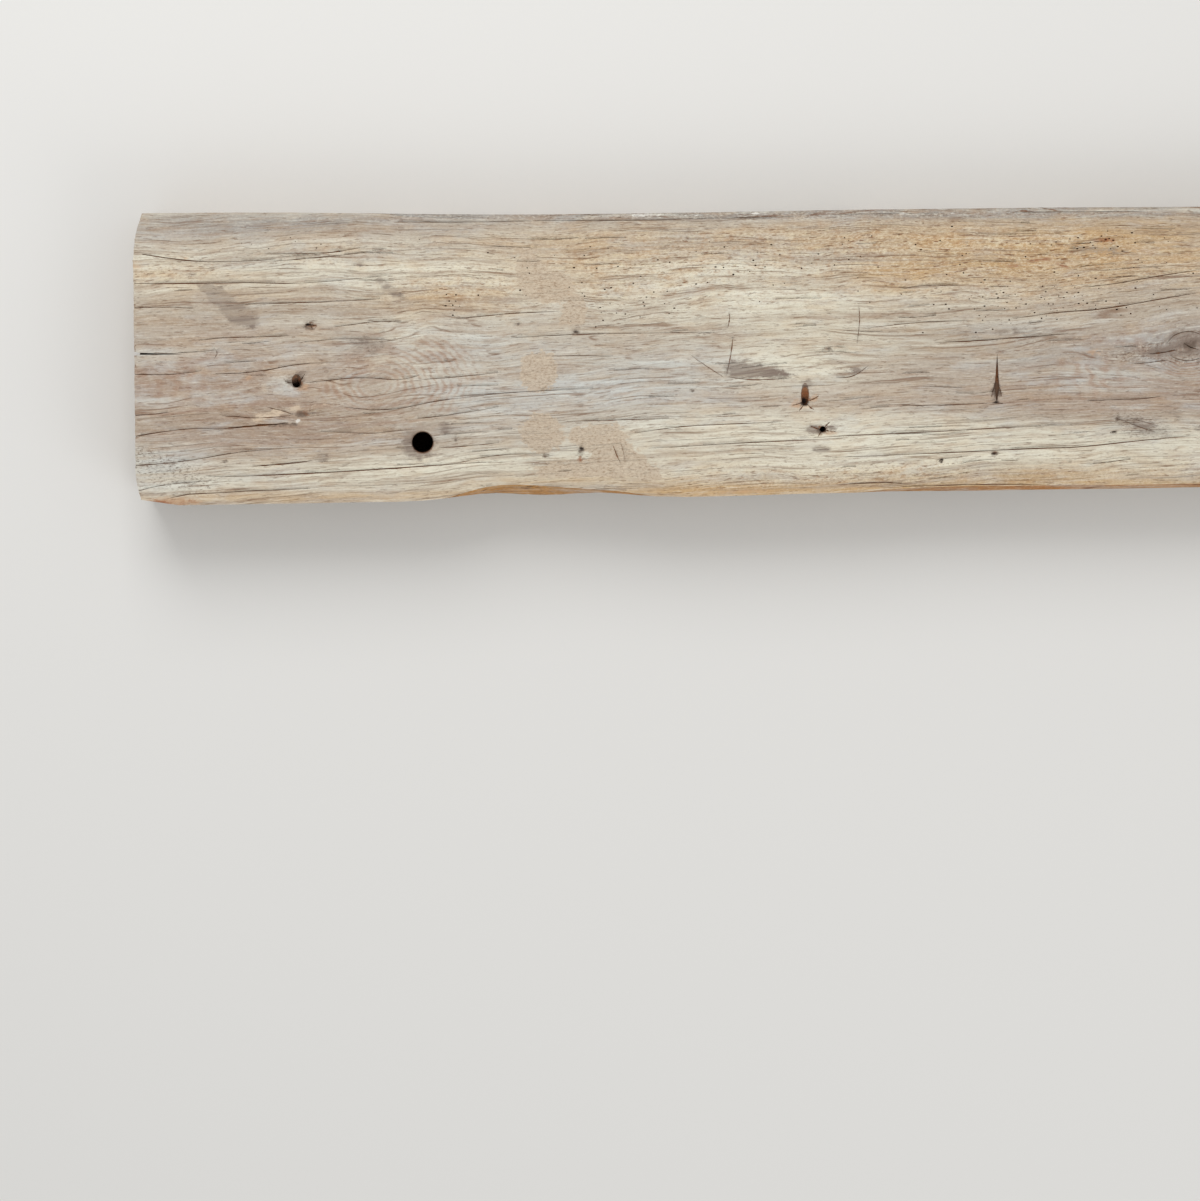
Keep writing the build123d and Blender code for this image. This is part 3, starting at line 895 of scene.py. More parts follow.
@dataclass(frozen=True)
class TimberFinish:
    """Finish of one surface of the timber.

    Args:
        region: The surface.
        ground: Colour of the bare timber.
        pale: Colour of the sapwood and of pale places.
        heart: Colour of the browner heartwood.
        ochre: Colour of the warm, worm-eaten places.
        line_share: How strongly the grain lines colour it.
        year_share: How strongly the yearly rings colour it.
        streak_share: How strongly the streaks do.
        relief: Depth of the grain's relief in metres.
        roughness: Roughness of the surface.
    """

    region: Region
    ground: Shade = (190, 181, 166)
    pale: Shade = (223, 218, 199)
    heart: Shade = (168, 149, 133)
    ochre: Shade = (194, 163, 121)
    line_share: float = 0.62
    year_share: float = 0.2
    streak_share: float = 1.0
    relief: float = 0.0011
    roughness: float = 0.84

    def make(self, grain: bpy.types.NodeTree) -> bpy.types.Material:
        """Builds the material.

        Args:
            grain: The group that gives the log's grain.

        Returns:
            The material.
        """
        material = bpy.data.materials.new(f"timber {self.region.name.lower()}")
        material.use_nodes = True
        material.node_tree.nodes.clear()
        w = Wiring(material.node_tree)
        drift = w.add("ShaderNodeAttribute", out="Vector", attribute_name="drift")
        place = w.vector("ADD", w.add("ShaderNodeTexCoord", out="Object"), drift)
        cut = w.group(grain, {"Place": place})
        own = {"ground": self.ground, "pale": self.pale, "heart": self.heart, "ochre": self.ochre}
        coats = Coats(w, cut, SHADES | own)
        coats.lay_ground()
        coats.lay_bands()
        coats.lay_streaks(self.streak_share, self.year_share)
        coats.lay_figure()
        coats.lay_fibres(self.line_share)
        coats.lay_sanding()
        coats.lay_marks()
        bump = w.add("ShaderNodeBump", {"Strength": 1.0, "Distance": self.relief, "Height": cut["Relief"]})
        matt = w.math("MULTIPLY_ADD", cut["Fibre"], 0.12, self.roughness - 0.06)
        looks = {"Base Color": coats.colour, "Roughness": matt, "Specular IOR Level": 0.28, "Normal": bump}
        shader = w.add("ShaderNodeBsdfPrincipled", looks)
        w.node("ShaderNodeOutputMaterial", {"Surface": shader})
        return material


def only(*things: bpy.types.Object) -> None:
    """Selects these objects alone and makes the first one active."""
    bpy.ops.object.select_all(action="DESELECT")
    for thing in things:
        thing.select_set(True)
    bpy.context.view_layer.objects.active = things[0]


def choose_faces(thing: bpy.types.Object, wanted: Iterable[bool]) -> None:
    """Enters edit mode with these faces alone selected.

    Args:
        thing: The mesh object.
        wanted: True or False for each face.
    """
    only(thing)
    bpy.ops.object.mode_set(mode="EDIT")
    bpy.ops.mesh.select_mode(type="FACE")
    bpy.ops.mesh.select_all(action="DESELECT")
    bpy.ops.object.mode_set(mode="OBJECT")
    thing.data.polygons.foreach_set("select", list(wanted))
    bpy.ops.object.mode_set(mode="EDIT")


def slice_across(axis: int, cuts: Iterable[float]) -> None:
    """Cuts edge lines into what shows of the mesh in edit mode.

    Args:
        axis: Axis that the cutting planes stand square to.
        cuts: Place of each plane along it, in metres.
    """
    square = [0.0, 0.0, 0.0]
    square[axis] = 1.0
    for cut in cuts:
        bpy.ops.mesh.select_all(action="SELECT")
        bpy.ops.mesh.bisect(plane_co=[cut * part for part in square], plane_no=square)


def corners(mesh: bpy.types.Mesh) -> np.ndarray:
    """Places of a mesh's vertices, one row each."""
    flat = np.empty(len(mesh.vertices) * 3, np.float32)
    mesh.vertices.foreach_get("co", flat)
    return flat.reshape(-1, 3).astype(float)


def clear_groups(bars: list[bpy.types.Object], gap: float = 0.0005) -> list[list[bpy.types.Object]]:
    """Sorts bars into groups in which no bar's box meets another's.

    Args:
        bars: The bars.
        gap: Room that is kept around each box, in metres.

    Returns:
        The groups.
    """
    groups: list[list[tuple]] = []
    for bar in bars:
        places = corners(bar.data)
        low, high = places.min(axis=0) - gap, places.max(axis=0) + gap
        for group in groups:
            if not any((low < upper).all() and (lower < high).all() for _, lower, upper in group):
                group.append((bar, low, high))
                break
        else:
            groups.append([(bar, low, high)])
    return [[bar for bar, _, _ in group] for group in groups]


def soft(stains: Iterable[Stain], station: np.ndarray, height: np.ndarray) -> np.ndarray:
    """Adds up soft patches at each place."""
    return sum((stain.share(station, height) for stain in stains), np.zeros_like(station))


def drift_at(station: np.ndarray, height: np.ndarray) -> tuple[np.ndarray, np.ndarray]:
    """How far a place has drifted from where its grain would be in a straight log.

    Args:
        station: Stations in millimetres.
        height: Heights in millimetres.

    Returns:
        The drift across the face and out of it, in millimetres.
    """
    slope = np.interp(height, (0, 110, 250, 329), (0.045, 0.045, 0.012, 0.005))
    run = np.clip(station, 0, 1500) - 600
    across = -slope * run
    across += 1.3 * np.sin(station / 43 + height / 31) + 0.9 * np.sin(station / 24 - height / 43 + 1.7)
    across += 0.4 * np.sin(station / 13.7 + height / 19 + 0.6) + 2.2 * np.sin(station / 97 - height / 83)
    out = np.zeros_like(across)
    for swirl in SWIRLS:
        away = (height - swirl.height) / swirl.spread
        near = np.exp(-(((station - swirl.station) / swirl.reach) ** 2 + away ** 2))
        across -= (swirl.lift + swirl.part * away) * near
        out -= swirl.swell * near
    return across, out


@dataclass
class Blade:
    """Thin wedge that opens a shake, modelled once and copied along each shake's line.

    Args:
        steps: Number of cuts along its length.
        proud: How far it stands out of the surface, in millimetres.
        template: The straight blade, once it is modelled.
    """

    steps: int = 13
    proud: float = 0.7
    template: bpy.types.Object | None = None

    def model(self) -> None:
        """Models the straight blade: a three-sided bar, divided along its length."""
        bpy.ops.object.select_all(action="DESELECT")
        bpy.ops.mesh.primitive_cylinder_add(vertices=3, radius=1, depth=1, rotation=(0, math.pi / 2, 0))
        bpy.ops.object.transform_apply(rotation=True)
        self.template = bpy.context.active_object
        bpy.ops.object.mode_set(mode="EDIT")
        bpy.ops.mesh.select_mode(type="EDGE")
        bpy.ops.mesh.select_all(action="DESELECT")
        bpy.ops.object.mode_set(mode="OBJECT")
        mesh = self.template.data
        for edge in mesh.edges:
            ends = [mesh.vertices[index].co.x for index in edge.vertices]
            edge.select = abs(ends[0] - ends[1]) > 0.5
        bpy.ops.object.mode_set(mode="EDIT")
        bpy.ops.mesh.subdivide(number_cuts=self.steps)
        bpy.ops.object.mode_set(mode="OBJECT")

    def copy_along(self, path: list[tuple[Vector, Vector]], width: float, depth: float, open_start: bool,
                   chance: random.Random) -> bpy.types.Object:
        """Copies the blade along a path.

        Args:
            path: Evenly spaced points of the surface, each with the way into the timber.
            width: Widest opening in millimetres.
            depth: Deepest reach in millimetres.
            open_start: True if the shake runs out through the end at its start.
            chance: Source of the uneven edges.

        Returns:
            The copy.
        """
        blade = self.template.copy()
        blade.data = self.template.data.copy()
        bpy.context.scene.collection.objects.link(blade)
        places = corners(blade.data)
        share = places[:, 0] + 0.5
        last = len(path) - 1
        beat = [chance.uniform(0.3, 1.2) for _ in range(self.steps + 2)]
        angles = np.arctan2(places[:, 1], places[:, 2])
        kinds = np.unique(np.round(angles, 2))
        for row, (part, angle) in enumerate(zip(share, angles)):
            at = part * last
            low = min(int(at), last - 1)
            here = path[low][0].lerp(path[low + 1][0], at - low)
            inward = path[low][1]
            ahead = (path[low + 1][0] - path[low][0]).normalized()
            side = ahead.cross(inward).normalized()
            taper = math.sin(math.pi * (0.5 + part / 2 if open_start else part))
            swell = beat[min(int(round(part * (self.steps + 1))), self.steps + 1)]
            opening = (max(taper, 0.0) ** 0.55 * swell + 0.03) * width / 2 * MM
            reach = (max(taper, 0.0) ** 0.5 + 0.03) * depth * MM
            kind = int(np.argmin(np.abs(kinds - round(angle, 2))))
            if kind == 1:
                spot = here + inward * reach
            else:
                widen = 1 + self.proud * MM / max(reach, 1e-6)
                spot = here - inward * self.proud * MM + side * opening * min(widen, 3.0) * (kind - 1)
            places[row] = spot
        blade.data.vertices.foreach_set("co", places.astype(np.float32).ravel())
        return blade


@dataclass
class Plank:
    """The plank's one piece of timber, dressed in the place of its CAD solid.

    Args:
        node: The CAD node.
        column: Spacing of the mesh's columns along the seen half, in metres.
        far_column: Their spacing along the rest.
        row: Spacing of the rows across the face.
        layer: Spacing of the rows down the edges.
        seen: Station where the seen half ends.
        peg_hole: Station, height, radius and depth of the peg hole, in millimetres.
        rim_wear: How far the hole's rim is worn, in metres.
        gash: Station and height of the gash's middle, and the share of it that torn fibres fill.
        end_split: Height and mouth of the split at the butt end, in millimetres.
        overrun: How far the blade of a shake that runs out through the butt stands out of it, in metres.
    """

    node: bpy.types.Object
    column: float = 0.0078
    far_column: float = 0.02
    row: float = 0.005
    layer: float = 0.011
    seen: float = 1240.0
    peg_hole: tuple[float, float, float, float] = (326.0, 67.5, 12.0, 70.0)
    rim_wear: float = 0.0012
    gash: tuple[float, float, float] = (992.5, 132.0, 0.62)
    end_split: tuple[float, float] = (172.5, 3.2)
    overrun: float = 0.008
    body: bpy.types.Object | None = None
    low: Vector = field(default_factory=Vector)
    high: Vector = field(default_factory=Vector)
    skin: BVHTree | None = None
    chance: random.Random = field(default_factory=lambda: random.Random(41))

    def build(self) -> bpy.types.Object:
        """Models the piece.

        Returns:
            The finished object.
        """
        low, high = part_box(NODE)
        self.low, self.high = Vector(low), Vector(high)
        self.copy_solid()
        self.refine_marks()
        self.mark_regions()
        self.roughen()
        self.hollow_dents()
        self.skin = BVHTree.FromObject(self.body, bpy.context.evaluated_depsgraph_get())
        self.open_shakes()
        self.clear_flaps()
        self.write_tints()
        self.smooth()
        return self.body

    def at(self, station: float, height: float) -> tuple[float, float]:
        """Place in metres of a station and a height in millimetres."""
        return self.low.x + station * MM, self.low.y + height * MM

    def measured(self, places: np.ndarray) -> tuple[np.ndarray, np.ndarray]:
        """Stations and heights of places, in millimetres."""
        return (places[:, 0] - self.low.x) / MM, (places[:, 1] - self.low.y) / MM

    def copy_solid(self) -> None:
        """Copies the CAD solid, merges its loose triangles and lays even lines over it."""
        only(self.node)
        bpy.ops.object.duplicate()
        self.body = bpy.context.active_object
        self.body.parent = None
        self.body.name = "plank_timber"
        for key in list(self.body.keys()):
            del self.body[key]
        bpy.ops.object.mode_set(mode="EDIT")
        bpy.ops.mesh.select_mode(type="FACE")
        bpy.ops.mesh.select_all(action="SELECT")
        bpy.ops.mesh.remove_doubles(threshold=1e-6)
        turn = self.low.x + self.seen * MM
        slice_across(0, np.arange(self.low.x + self.column, turn, self.column))
        slice_across(0, np.arange(turn, self.high.x - self.column / 2, self.far_column))
        bpy.ops.object.mode_set(mode="OBJECT")
        for face in self.body.data.polygons:
            face.select = face.center.z < self.low.z + SKIN
        bpy.ops.object.mode_set(mode="EDIT")
        bpy.ops.mesh.hide(unselected=False)
        slice_across(1, np.arange(self.low.y + self.row, self.high.y, self.row))
        slice_across(2, np.arange(self.low.z + self.layer, self.high.z, self.layer))
        bpy.ops.mesh.reveal(select=False)
        bpy.ops.object.mode_set(mode="OBJECT")
        log.info("timber body: %d faces", len(self.body.data.polygons))

    def refine_marks(self) -> None:
        """Divides the mesh again where the face has dents and small stains."""
        small = (*DENTS, *(stain for name in FINE_TINTS for stain in TINTS[name]))
        mesh = self.body.data
        centres = np.empty(len(mesh.polygons) * 3, np.float32)
        mesh.polygons.foreach_get("center", centres)
        centres = centres.reshape(-1, 3)
        station, height = self.measured(centres)
        near = np.zeros(len(centres), bool)
        for stain in small:
            wide = max(stain.reach, stain.spread) if stain.turn else stain.reach
            tall = max(stain.reach, stain.spread) * 0.6 if stain.turn else stain.spread
            level = abs(height - stain.height) < tall * 1.3 + 2
            near |= (abs(station - stain.station) < wide * 1.3 + 2) & level
        near &= centres[:, 2] > self.high.z - 0.006
        choose_faces(self.body, near)
        bpy.ops.mesh.subdivide(number_cuts=2)
        bpy.ops.object.mode_set(mode="OBJECT")
        log.info("refined: %d faces", len(self.body.data.polygons))

    def hollow_dents(self) -> None:
        """Presses the dents into the face, with torn floors, and fills the gash with its fibres."""
        mesh = self.body.data
        places = corners(mesh)
        station, height = self.measured(places)
        depth = soft(DENTS, station, height)
        depth[places[:, 2] < self.high.z - 0.002] = 0.0
        for index in np.flatnonzero(depth > 0.03):
            x, y, _ = places[index]
            depth[index] *= 1.0 + 0.9 * noise.noise((x * 160, y * 420, 3.0))
        places[:, 2] -= np.clip(depth, 0, None) * MM
        torn = (abs(station - self.gash[0]) < 6) & (abs(height - self.gash[1]) < 32)
        sunk = self.high.z - places[:, 2]
        places[torn, 2] += sunk[torn] * self.gash[2]
        mesh.vertices.foreach_set("co", places.astype(np.float32).ravel())
        mesh.update()

    def mark_regions(self) -> None:
        """Gives each face the material of its surface."""
        mesh = self.body.data
        mesh.materials.clear()
        grain = GrainEffect().make()
        for finish in FINISHES:
            mesh.materials.append(finish.make(grain))
        middle = (self.low.y + self.high.y) / 2
        half = (self.high.y - self.low.y) / 2
        for face in mesh.polygons:
            out = face.normal
            region = Region.EDGE
            near_end = min(face.center.x - self.low.x, self.high.x - face.center.x) < END_ZONE
            buried = self.low.z + SKIN < face.center.z < self.high.z - SKIN
            if abs(out.z) > 0.995 and not buried:
                region = Region.FACE
            elif abs(out.x) > 0.7 and near_end:
                region = Region.END
            elif abs(face.center.y - middle) < half - EDGE_ZONE:
                region = Region.SPLIT
            elif out.z > 0.15:
                region = Region.WANE if face.center.y < middle else Region.WORN
            face.material_index = region.value

    def roughen(self) -> None:
        """Works the surface in by a fraction of a millimetre, more on the wane and the ends."""
        mesh = self.body.data
        places = corners(mesh)
        outward = np.empty(len(mesh.vertices) * 3, np.float32)
        mesh.vertex_normals.foreach_get("vector", outward)
        by_index = [ROUGHENING[region] for region in Region]
        depth = np.zeros(len(places))
        for face in mesh.polygons:
            for index in face.vertices:
                depth[index] = max(depth[index], by_index[face.material_index])
        share = np.empty(len(places))
        for index, (x, y, z) in enumerate(places):
            fine = 0.5 + 0.5 * noise.noise((x * 14, y * 110, z * 50))
            broad = 0.5 + 0.5 * noise.noise((x * 9, y * 9, z * 9))
            share[index] = 0.65 * fine + 0.35 * broad
        share[places[:, 2] < self.low.z + 0.0005] = 0.0
        places -= outward.reshape(-1, 3) * (depth * np.clip(share, 0, 1) * MM)[:, None]
        places[:, 2] = np.minimum(places[:, 2], self.high.z)
        mesh.vertices.foreach_set("co", places.astype(np.float32).ravel())
        mesh.update()

    def surface(self, side: Side, along: float, across: float) -> tuple[Vector, Vector] | None:
        """Point of the surface under a place on one side.

        Args:
            side: The side.
            along: Station, or height across the face on an end.
            across: Height across the face, or above the back on an edge or an end.

        Returns:
            The point and the way in, or None where there is no timber.
        """
        inward = Vector(side.value)
        level = self.low.z + across * MM
        if side in (Side.FACE, Side.BACK):
            start = Vector((*self.at(along, across), (self.low.z + self.high.z) / 2))
        elif side in (Side.LOWER, Side.UPPER):
            start = Vector((self.low.x + along * MM, (self.low.y + self.high.y) / 2, level))
        else:
            start = Vector((0, self.low.y + along * MM, level))
        start -= inward * 2.0
        found = self.skin.ray_cast(start, inward)[0]
        if found is None:
            return None
        if side is Side.FACE and FLAT_LOW < across < FLAT_HIGH:
            found.z = max(found.z, self.high.z - 0.0008)
        return found, inward

    def path_of(self, shake: Shake, count: int = 10) -> list[tuple[Vector, Vector]]:
        """Evenly spaced points of the surface along a shake's line, rounded at its corners."""
        points = [Vector(point) for point in shake.line]
        lengths = [0.0]
        for first, second in zip(points, points[1:]):
            lengths.append(lengths[-1] + (second - first).length)
        path = []
        last = len(points) - 1
        for step in range(count):
            goal = lengths[-1] * step / (count - 1)
            passed = [index for index, length in enumerate(lengths) if length <= goal + 1e-9]
            low = min(passed[-1], last - 1)
            share = (goal - lengths[low]) / (lengths[low + 1] - lengths[low])
            before = points[low - 1] if low else points[0] * 2 - points[1]
            after = points[low + 2] if low + 2 <= last else points[last] * 2 - points[last - 1]
            start, end = points[low], points[low + 1]
            bend = 2 * before - 5 * start + 4 * end - after
            twist = 3 * start - before - 3 * end + after
            spot = 0.5 * ((2 * start) + (end - before) * share + bend * share ** 2 + twist * share ** 3)
            sway = 0.6 * noise.noise(Vector((spot.x * 0.07, spot.y * 0.3, shake.width)))
            found = self.surface(shake.side, spot.x, spot.y + sway)
            if found:
                path.append(found)
        return path

    def open_shakes(self) -> None:
        """Cuts every shake and worm hole."""
        blade = Blade()
        blade.model()
        cutters = []
        for shake in (*SEEN_SHAKES, *SCRATCHES, *self.small_shakes()):
            path = self.path_of(shake)
            if len(path) < 4:
                continue
            open_start = shake.line[0][0] < OPEN_BEFORE
            if open_start:
                first, inward = path[0]
                path[0] = (first + (first - path[1][0]).normalized() * self.overrun, inward)
            cutters.append(blade.copy_along(path, shake.width, shake.depth, open_start, self.chance))
        log.info("shakes: %d", len(cutters))
        self.cut_with(cutters, "shakes")
        holes = self.worm_holes()
        log.info("worm holes: %d", len(holes))
        self.cut_with(holes, "worm_holes")
        self.cut_with([self.peg_drill()], "peg_hole")
        bpy.data.objects.remove(blade.template)

    def peg_drill(self) -> bpy.types.Object:
        """Round drill for the peg hole, with a flare that wears its rim."""
        station, height, radius, depth = self.peg_hole
        floor = self.high.z - depth * MM
        top = self.high.z - self.rim_wear
        bpy.ops.object.select_all(action="DESELECT")
        bpy.ops.mesh.primitive_cylinder_add(
            vertices=48, radius=radius * MM + 0.00012, depth=top - floor + 0.0001,
            location=(*self.at(station, height), (top + floor) / 2))
        drill = bpy.context.active_object
        bpy.ops.object.transform_apply(location=True)
        choose_faces(drill, [face.normal.z > 0.9 for face in drill.data.polygons])
        flare = 1 + self.rim_wear / (radius * MM)
        bpy.ops.mesh.extrude_region_move(TRANSFORM_OT_translate={"value": (0, 0, self.rim_wear)})
        bpy.ops.transform.resize(value=(flare, flare, 1), center_override=(*self.at(station, height), 0))
        bpy.ops.mesh.extrude_region_move(TRANSFORM_OT_translate={"value": (0, 0, 0.002)})
        bpy.ops.object.mode_set(mode="OBJECT")
        return drill

    def grain_line(self, station: float, height: float, length: float) -> Line:
        """Line of a small crack along the grain from a place on the face."""
        points = []
        level = float(height)
        for step in range(5):
            here = station + length * step / 4
            drift = drift_at(np.array([here]), np.array([level]))
            start = drift_at(np.array([station]), np.array([height]))
            level = height + float(start[0][0] - drift[0][0])
            points.append((here, level))
        return tuple(points)

    def small_shakes(self) -> list[Shake]:
        """Short cracks all over the plank, and the long ones of its unseen half."""
        pick = self.chance
        found = []
        for _ in range(90):
            length = pick.uniform(14, 60)
            line = self.grain_line(pick.uniform(FIRST_STATION, 1200), pick.uniform(12, 312), length)
            found.append(Shake(line, pick.uniform(0.35, 0.7), pick.uniform(1.0, 2.5)))
        for _ in range(70):
            length = pick.choice((30, 60, 90, 150, 260))
            station = pick.uniform(self.seen, LAST_STATION - length)
            line = self.grain_line(station, pick.uniform(14, 308), length)
            found.append(Shake(line, pick.uniform(0.5, 1.2), pick.uniform(1.5, 6.0)))
        for scatter in SCATTERS:
            found.extend(scatter.draw(pick) for _ in range(scatter.count))
        for side in (Side.BUTT, Side.FAR):
            for level in END_SHAKE_HEIGHTS:
                foot = Vector((level + pick.uniform(-6, 6), pick.uniform(16, 52)))
                out = (foot - Vector(PITH)).normalized()
                middle = foot + out * pick.uniform(8, 18) + Vector((pick.uniform(-1.5, 1.5), 0))
                top = foot + out * pick.uniform(20, 38)
                line = (foot[:], middle[:], top[:])
                found.append(Shake(line, pick.uniform(0.6, 1.5), pick.uniform(3, 7), side))
        return found

    def worm_holes(self) -> list[bpy.types.Object]:
        """Cutters of the worm holes: one small tapered bar, copied to each hole."""
        pick = self.chance
        bpy.ops.object.select_all(action="DESELECT")
        bpy.ops.mesh.primitive_cylinder_add(vertices=7, radius=1, depth=2)
        template = bpy.context.active_object
        bpy.ops.object.mode_set(mode="EDIT")
        bpy.ops.mesh.select_all(action="SELECT")
        bpy.ops.mesh.bevel(offset=0.1, affect="VERTICES")
        bpy.ops.object.mode_set(mode="OBJECT")
        shape = corners(template.data)
        holes = []
        taken: list[Vector] = []
        for patch, count in WORM_PATCHES:
            for _ in range(count):
                station = pick.gauss(patch.station, patch.reach * 0.7)
                height = pick.gauss(patch.height, patch.spread * 0.7)
                found = self.surface(Side.FACE, station, height)
                along = WORM_STATIONS[0] < station < WORM_STATIONS[1]
                if not found or not along or not WORM_HEIGHTS[0] < height < WORM_HEIGHTS[1]:
                    continue
                spot = found[0]
                if any((spot - other).length < WORM_GAP for other in taken):
                    continue
                taken.append(spot)
                radius = pick.uniform(0.45, 0.95) * MM
                stretch = pick.uniform(1.0, 1.9)
                depth = pick.uniform(2.5, 6) * MM
                lean = pick.uniform(-0.5, 0.5)
                hole = template.copy()
                hole.data = template.data.copy()
                bpy.context.scene.collection.objects.link(hole)
                places = np.empty_like(shape)
                down = (shape[:, 2] - 1) / 2
                places[:, 0] = spot.x + shape[:, 0] * radius * stretch + down * lean * depth
                places[:, 1] = spot.y + shape[:, 1] * radius
                places[:, 2] = spot.z + 0.0006 + down * depth
                hole.data.vertices.foreach_set("co", places.astype(np.float32).ravel())
                holes.append(hole)
        bpy.data.objects.remove(template)
        return holes

    def cut_with(self, cutters: list[bpy.types.Object], name: str) -> None:
        """Cuts the body with these bars, those that lie clear of each other at one time.

        Args:
            cutters: The bars.
            name: Name of the joined bars.
        """
        for group in clear_groups(cutters):
            self.cut_once(group, name)
        log.info("%s: body has %d faces", name, len(self.body.data.polygons))

    def cut_once(self, cutters: list[bpy.types.Object], name: str) -> None:
        """Cuts the body with bars that don't meet, and removes them.

        Args:
            cutters: The bars.
            name: Name of the joined bars.
        """
        only(*cutters)
        if len(cutters) > 1:
            bpy.ops.object.join()
        bar = bpy.context.active_object
        bar.name = name
        bpy.ops.object.mode_set(mode="EDIT")
        bpy.ops.mesh.select_all(action="SELECT")
        bpy.ops.mesh.normals_make_consistent(inside=False)
        bpy.ops.object.mode_set(mode="OBJECT")
        bar.data.materials.clear()
        for material in self.body.data.materials:
            bar.data.materials.append(material)
        for face in bar.data.polygons:
            face.material_index = Region.SPLIT.value
        only(self.body)
        cut = self.body.modifiers.new(name, "BOOLEAN")
        cut.operation = "DIFFERENCE"
        cut.solver = "MANIFOLD"
        cut.object = bar
        bpy.ops.object.modifier_apply(modifier=cut.name)
        bpy.data.objects.remove(bar)

    def clear_flaps(self) -> None:
        """Removes the loose flaps that the cuts leave, each two faces on the same corners."""
        outlines = [frozenset(face.vertices) for face in self.body.data.polygons]
        times = Counter(outlines)
        choose_faces(self.body, [times[outline] > 1 for outline in outlines])
        bpy.ops.mesh.delete(type="FACE")
        bpy.ops.object.mode_set(mode="OBJECT")

    def write_tints(self) -> None:
        """Writes the tints, the drift of the grain and the depth under the skin on the vertices."""
        mesh = self.body.data
        places = corners(mesh)
        station, height = self.measured(places)
        below = (self.high.z - places[:, 2]) / MM
        near_face = np.exp(-(np.clip(below, 0, None) / 30) ** 2)
        for name, stains in TINTS.items():
            self.write(mesh, name, "FLOAT", soft(stains, station, height) * near_face)
        drift = np.zeros_like(places)
        drift[:, 1], drift[:, 2] = drift_at(station, height)
        self.write(mesh, "drift", "FLOAT_VECTOR", drift * MM)
        sunk = np.zeros(len(places))
        for index, place in enumerate(places):
            near = self.skin.find_nearest(Vector(place))
            sunk[index] = near[3] / MM
        # Places inside the timber count as deep as they lie under the face, so the cuts and the end split
        # get deeper painted shade
        inner = (height > FLAT_LOW) & (height < FLAT_HIGH) & (station > 22) & (station < 2392) & (below < 97)
        split_height, split_mouth = self.end_split
        in_split = abs(height - split_height) < split_mouth / 2 + 0.2
        inner |= (station > 3.2) & (station <= 22) & in_split
        sunk = np.where(inner, np.maximum(sunk, below - 0.8), sunk)
        self.write(mesh, "sunk", "FLOAT", sunk)
        rings = np.zeros(len(places))
        ringed = np.zeros(len(places))
        for figure in FIGURES:
            near = soft(figure.patches, station, height) * near_face
            rings = np.where(near > ringed, figure.turns(station, height), rings)
            ringed = np.maximum(ringed, near)
        self.write(mesh, "rings", "FLOAT", rings)
        self.write(mesh, "ringed", "FLOAT", ringed)

    @staticmethod
    def write(mesh: bpy.types.Mesh, name: str, kind: str, values: np.ndarray) -> None:
        """Writes one attribute on the vertices."""
        layer = mesh.attributes.new(name, kind, "POINT")
        label = "vector" if kind == "FLOAT_VECTOR" else "value"
        layer.data.foreach_set(label, values.astype(np.float32).ravel())

    def smooth(self) -> None:
        """Shades the surface smooth up to its arrises."""
        only(self.body)
        bpy.ops.object.shade_smooth_by_angle(angle=math.radians(24))

    def dress(self) -> None:
        """Puts the piece in the CAD solid's place."""
        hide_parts(NODE)
        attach(self.body, BODY)


# Finish of each surface, in the order of the surfaces' indices
FINISHES = (
    TimberFinish(Region.FACE),
    TimberFinish(Region.EDGE, ground=(172, 158, 141)),
    TimberFinish(Region.END, ground=(176, 157, 134), line_share=0.3, year_share=0.65, streak_share=0.6),
    TimberFinish(Region.WANE, ground=(190, 134, 70), ochre=(180, 118, 56), pale=(216, 168, 98),
                 heart=(136, 92, 54), line_share=0.9, relief=0.0016),
    TimberFinish(Region.WORN, ground=(112, 110, 107), pale=(130, 128, 124), heart=(98, 94, 91),
                 ochre=(112, 107, 100), line_share=0.9, relief=0.0016, streak_share=1.1),
    # The walls of the cuts get a dark brown, which paints the shade inside them
    TimberFinish(Region.SPLIT, ground=(108, 78, 58), pale=(120, 88, 66), heart=(98, 70, 52),
                 ochre=(114, 78, 52), line_share=0.3),
)


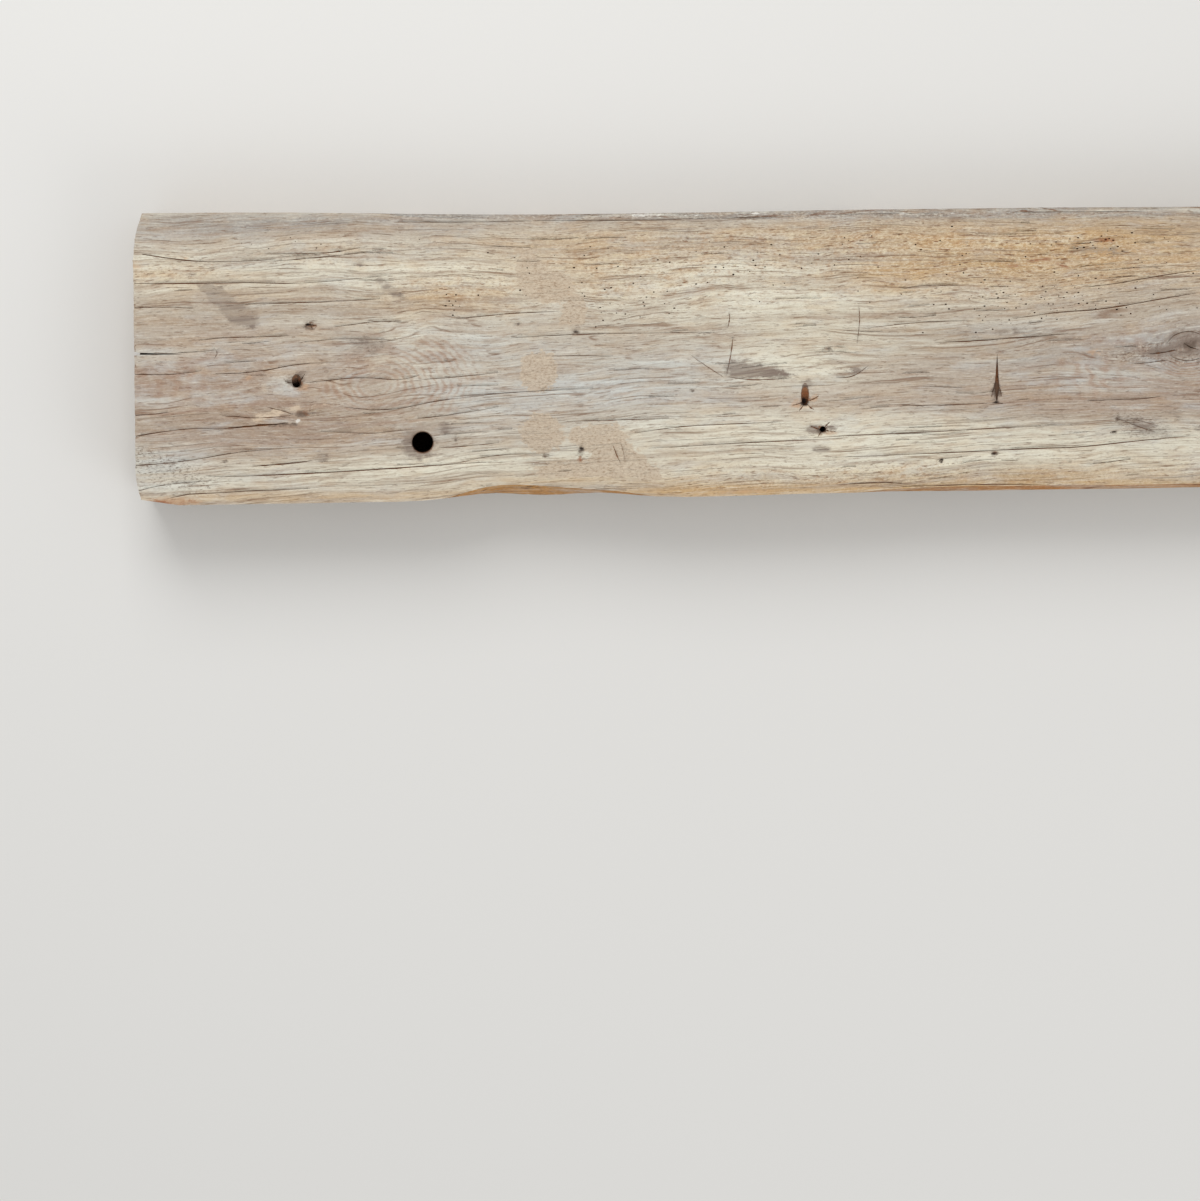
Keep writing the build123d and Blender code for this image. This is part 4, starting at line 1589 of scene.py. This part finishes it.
@dataclass
class Studio:
    """Plain pale floor and soft light.

    Args:
        floor_half: Half the floor's side in metres.
        floor_colour: Colour of the floor.
        sky: Strength of the even light.
    """

    floor_half: float = 6.0
    floor_colour: Shade = (222, 221, 218)
    sky: float = 0.66

    def build(self) -> None:
        """Makes the floor, the world and the lamps."""
        bpy.ops.object.select_all(action="DESELECT")
        bpy.ops.mesh.primitive_plane_add(size=2 * self.floor_half, location=(0, 0, 0))
        floor = bpy.context.active_object
        floor.name = "studio_floor"
        bpy.ops.object.mode_set(mode="EDIT")
        bpy.ops.mesh.select_all(action="SELECT")
        bpy.ops.mesh.subdivide(number_cuts=3)
        bpy.ops.object.mode_set(mode="OBJECT")
        paint = bpy.data.materials.new("studio floor")
        paint.use_nodes = True
        shader = paint.node_tree.nodes["Principled BSDF"]
        shader.inputs["Base Color"].default_value = tone(*self.floor_colour)
        shader.inputs["Roughness"].default_value = 0.9
        shader.inputs["Specular IOR Level"].default_value = 0.1
        floor.data.materials.append(paint)
        world = bpy.data.worlds.new("studio sky")
        world.use_nodes = True
        back = world.node_tree.nodes["Background"]
        back.inputs["Color"].default_value = (1, 1, 1, 1)
        back.inputs["Strength"].default_value = self.sky
        bpy.context.scene.world = world
        self.lamp("key", (-1.4, 2.6, 2.6), (-0.4, 0, 0), 2.2, 74)
        self.lamp("fill", (1.8, -2.4, 2.8), (0, 0, 0), 2.4, 26)

    @staticmethod
    def lamp(name: str, place: tuple, target: tuple, size: float, power: float) -> None:
        """Adds a square area lamp.

        Args:
            name: Its name.
            place: Where it stands.
            target: Where it points.
            size: Its side in metres.
            power: Its power in watts.
        """
        data = bpy.data.lights.new(name, "AREA")
        data.size = size
        data.energy = power
        lamp = bpy.data.objects.new(name, data)
        bpy.context.scene.collection.objects.link(lamp)
        lamp.location = place
        lamp.rotation_euler = (Vector(target) - Vector(place)).to_track_quat("-Z", "Y").to_euler()


@dataclass(frozen=True)
class Viewpoint:
    """The camera over the plank's face.

    Args:
        station: Station that it stands over, in metres from the butt end.
        height: Height across the face that it stands over, in metres from the lower edge.
        distance: Its distance from the face in metres.
        yaw: Turn towards the far end, in degrees.
        pitch: Tilt towards the lower edge, in degrees.
        roll: Turn about its own axis, in degrees.
        lens: Focal length in millimetres on a 36 mm wide sensor.
    """

    station: float = 0.2948
    height: float = 0.2124
    distance: float = 2.8651
    yaw: float = 4.642
    pitch: float = 6.56
    roll: float = -0.595
    lens: float = 75.0

    def build(self) -> None:
        """Makes the camera and hands it to the scene."""
        low, high = (Vector(corner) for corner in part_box(NODE))
        data = bpy.data.cameras.new("over_the_face")
        data.lens = self.lens
        data.sensor_width = 36.0
        data.sensor_fit = "HORIZONTAL"
        camera = bpy.data.objects.new("over_the_face", data)
        bpy.context.scene.collection.objects.link(camera)
        camera.location = (low.x + self.station, low.y + self.height, high.z + self.distance)
        turns = (Euler((0, -math.radians(self.yaw), 0)), Euler((-math.radians(self.pitch), 0, 0)),
                 Euler((0, 0, math.radians(self.roll))))
        turned = turns[0].to_matrix() @ turns[1].to_matrix() @ turns[2].to_matrix()
        camera.rotation_euler = turned.to_euler()
        bpy.context.scene.camera = camera


def main() -> None:
    """Builds the plank and its studio."""
    logging.basicConfig(level=logging.INFO, format="%(name)s: %(message)s")
    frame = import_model()
    bpy.context.scene.view_settings.view_transform = "Standard"
    Viewpoint().build()
    Studio().build()
    plank = Plank(frame["nodes"][NODE])
    body = plank.build()
    plank.dress()
    log.info("piece %s: %d faces", body.name, len(body.data.polygons))


if __name__ == "__main__":
    main()
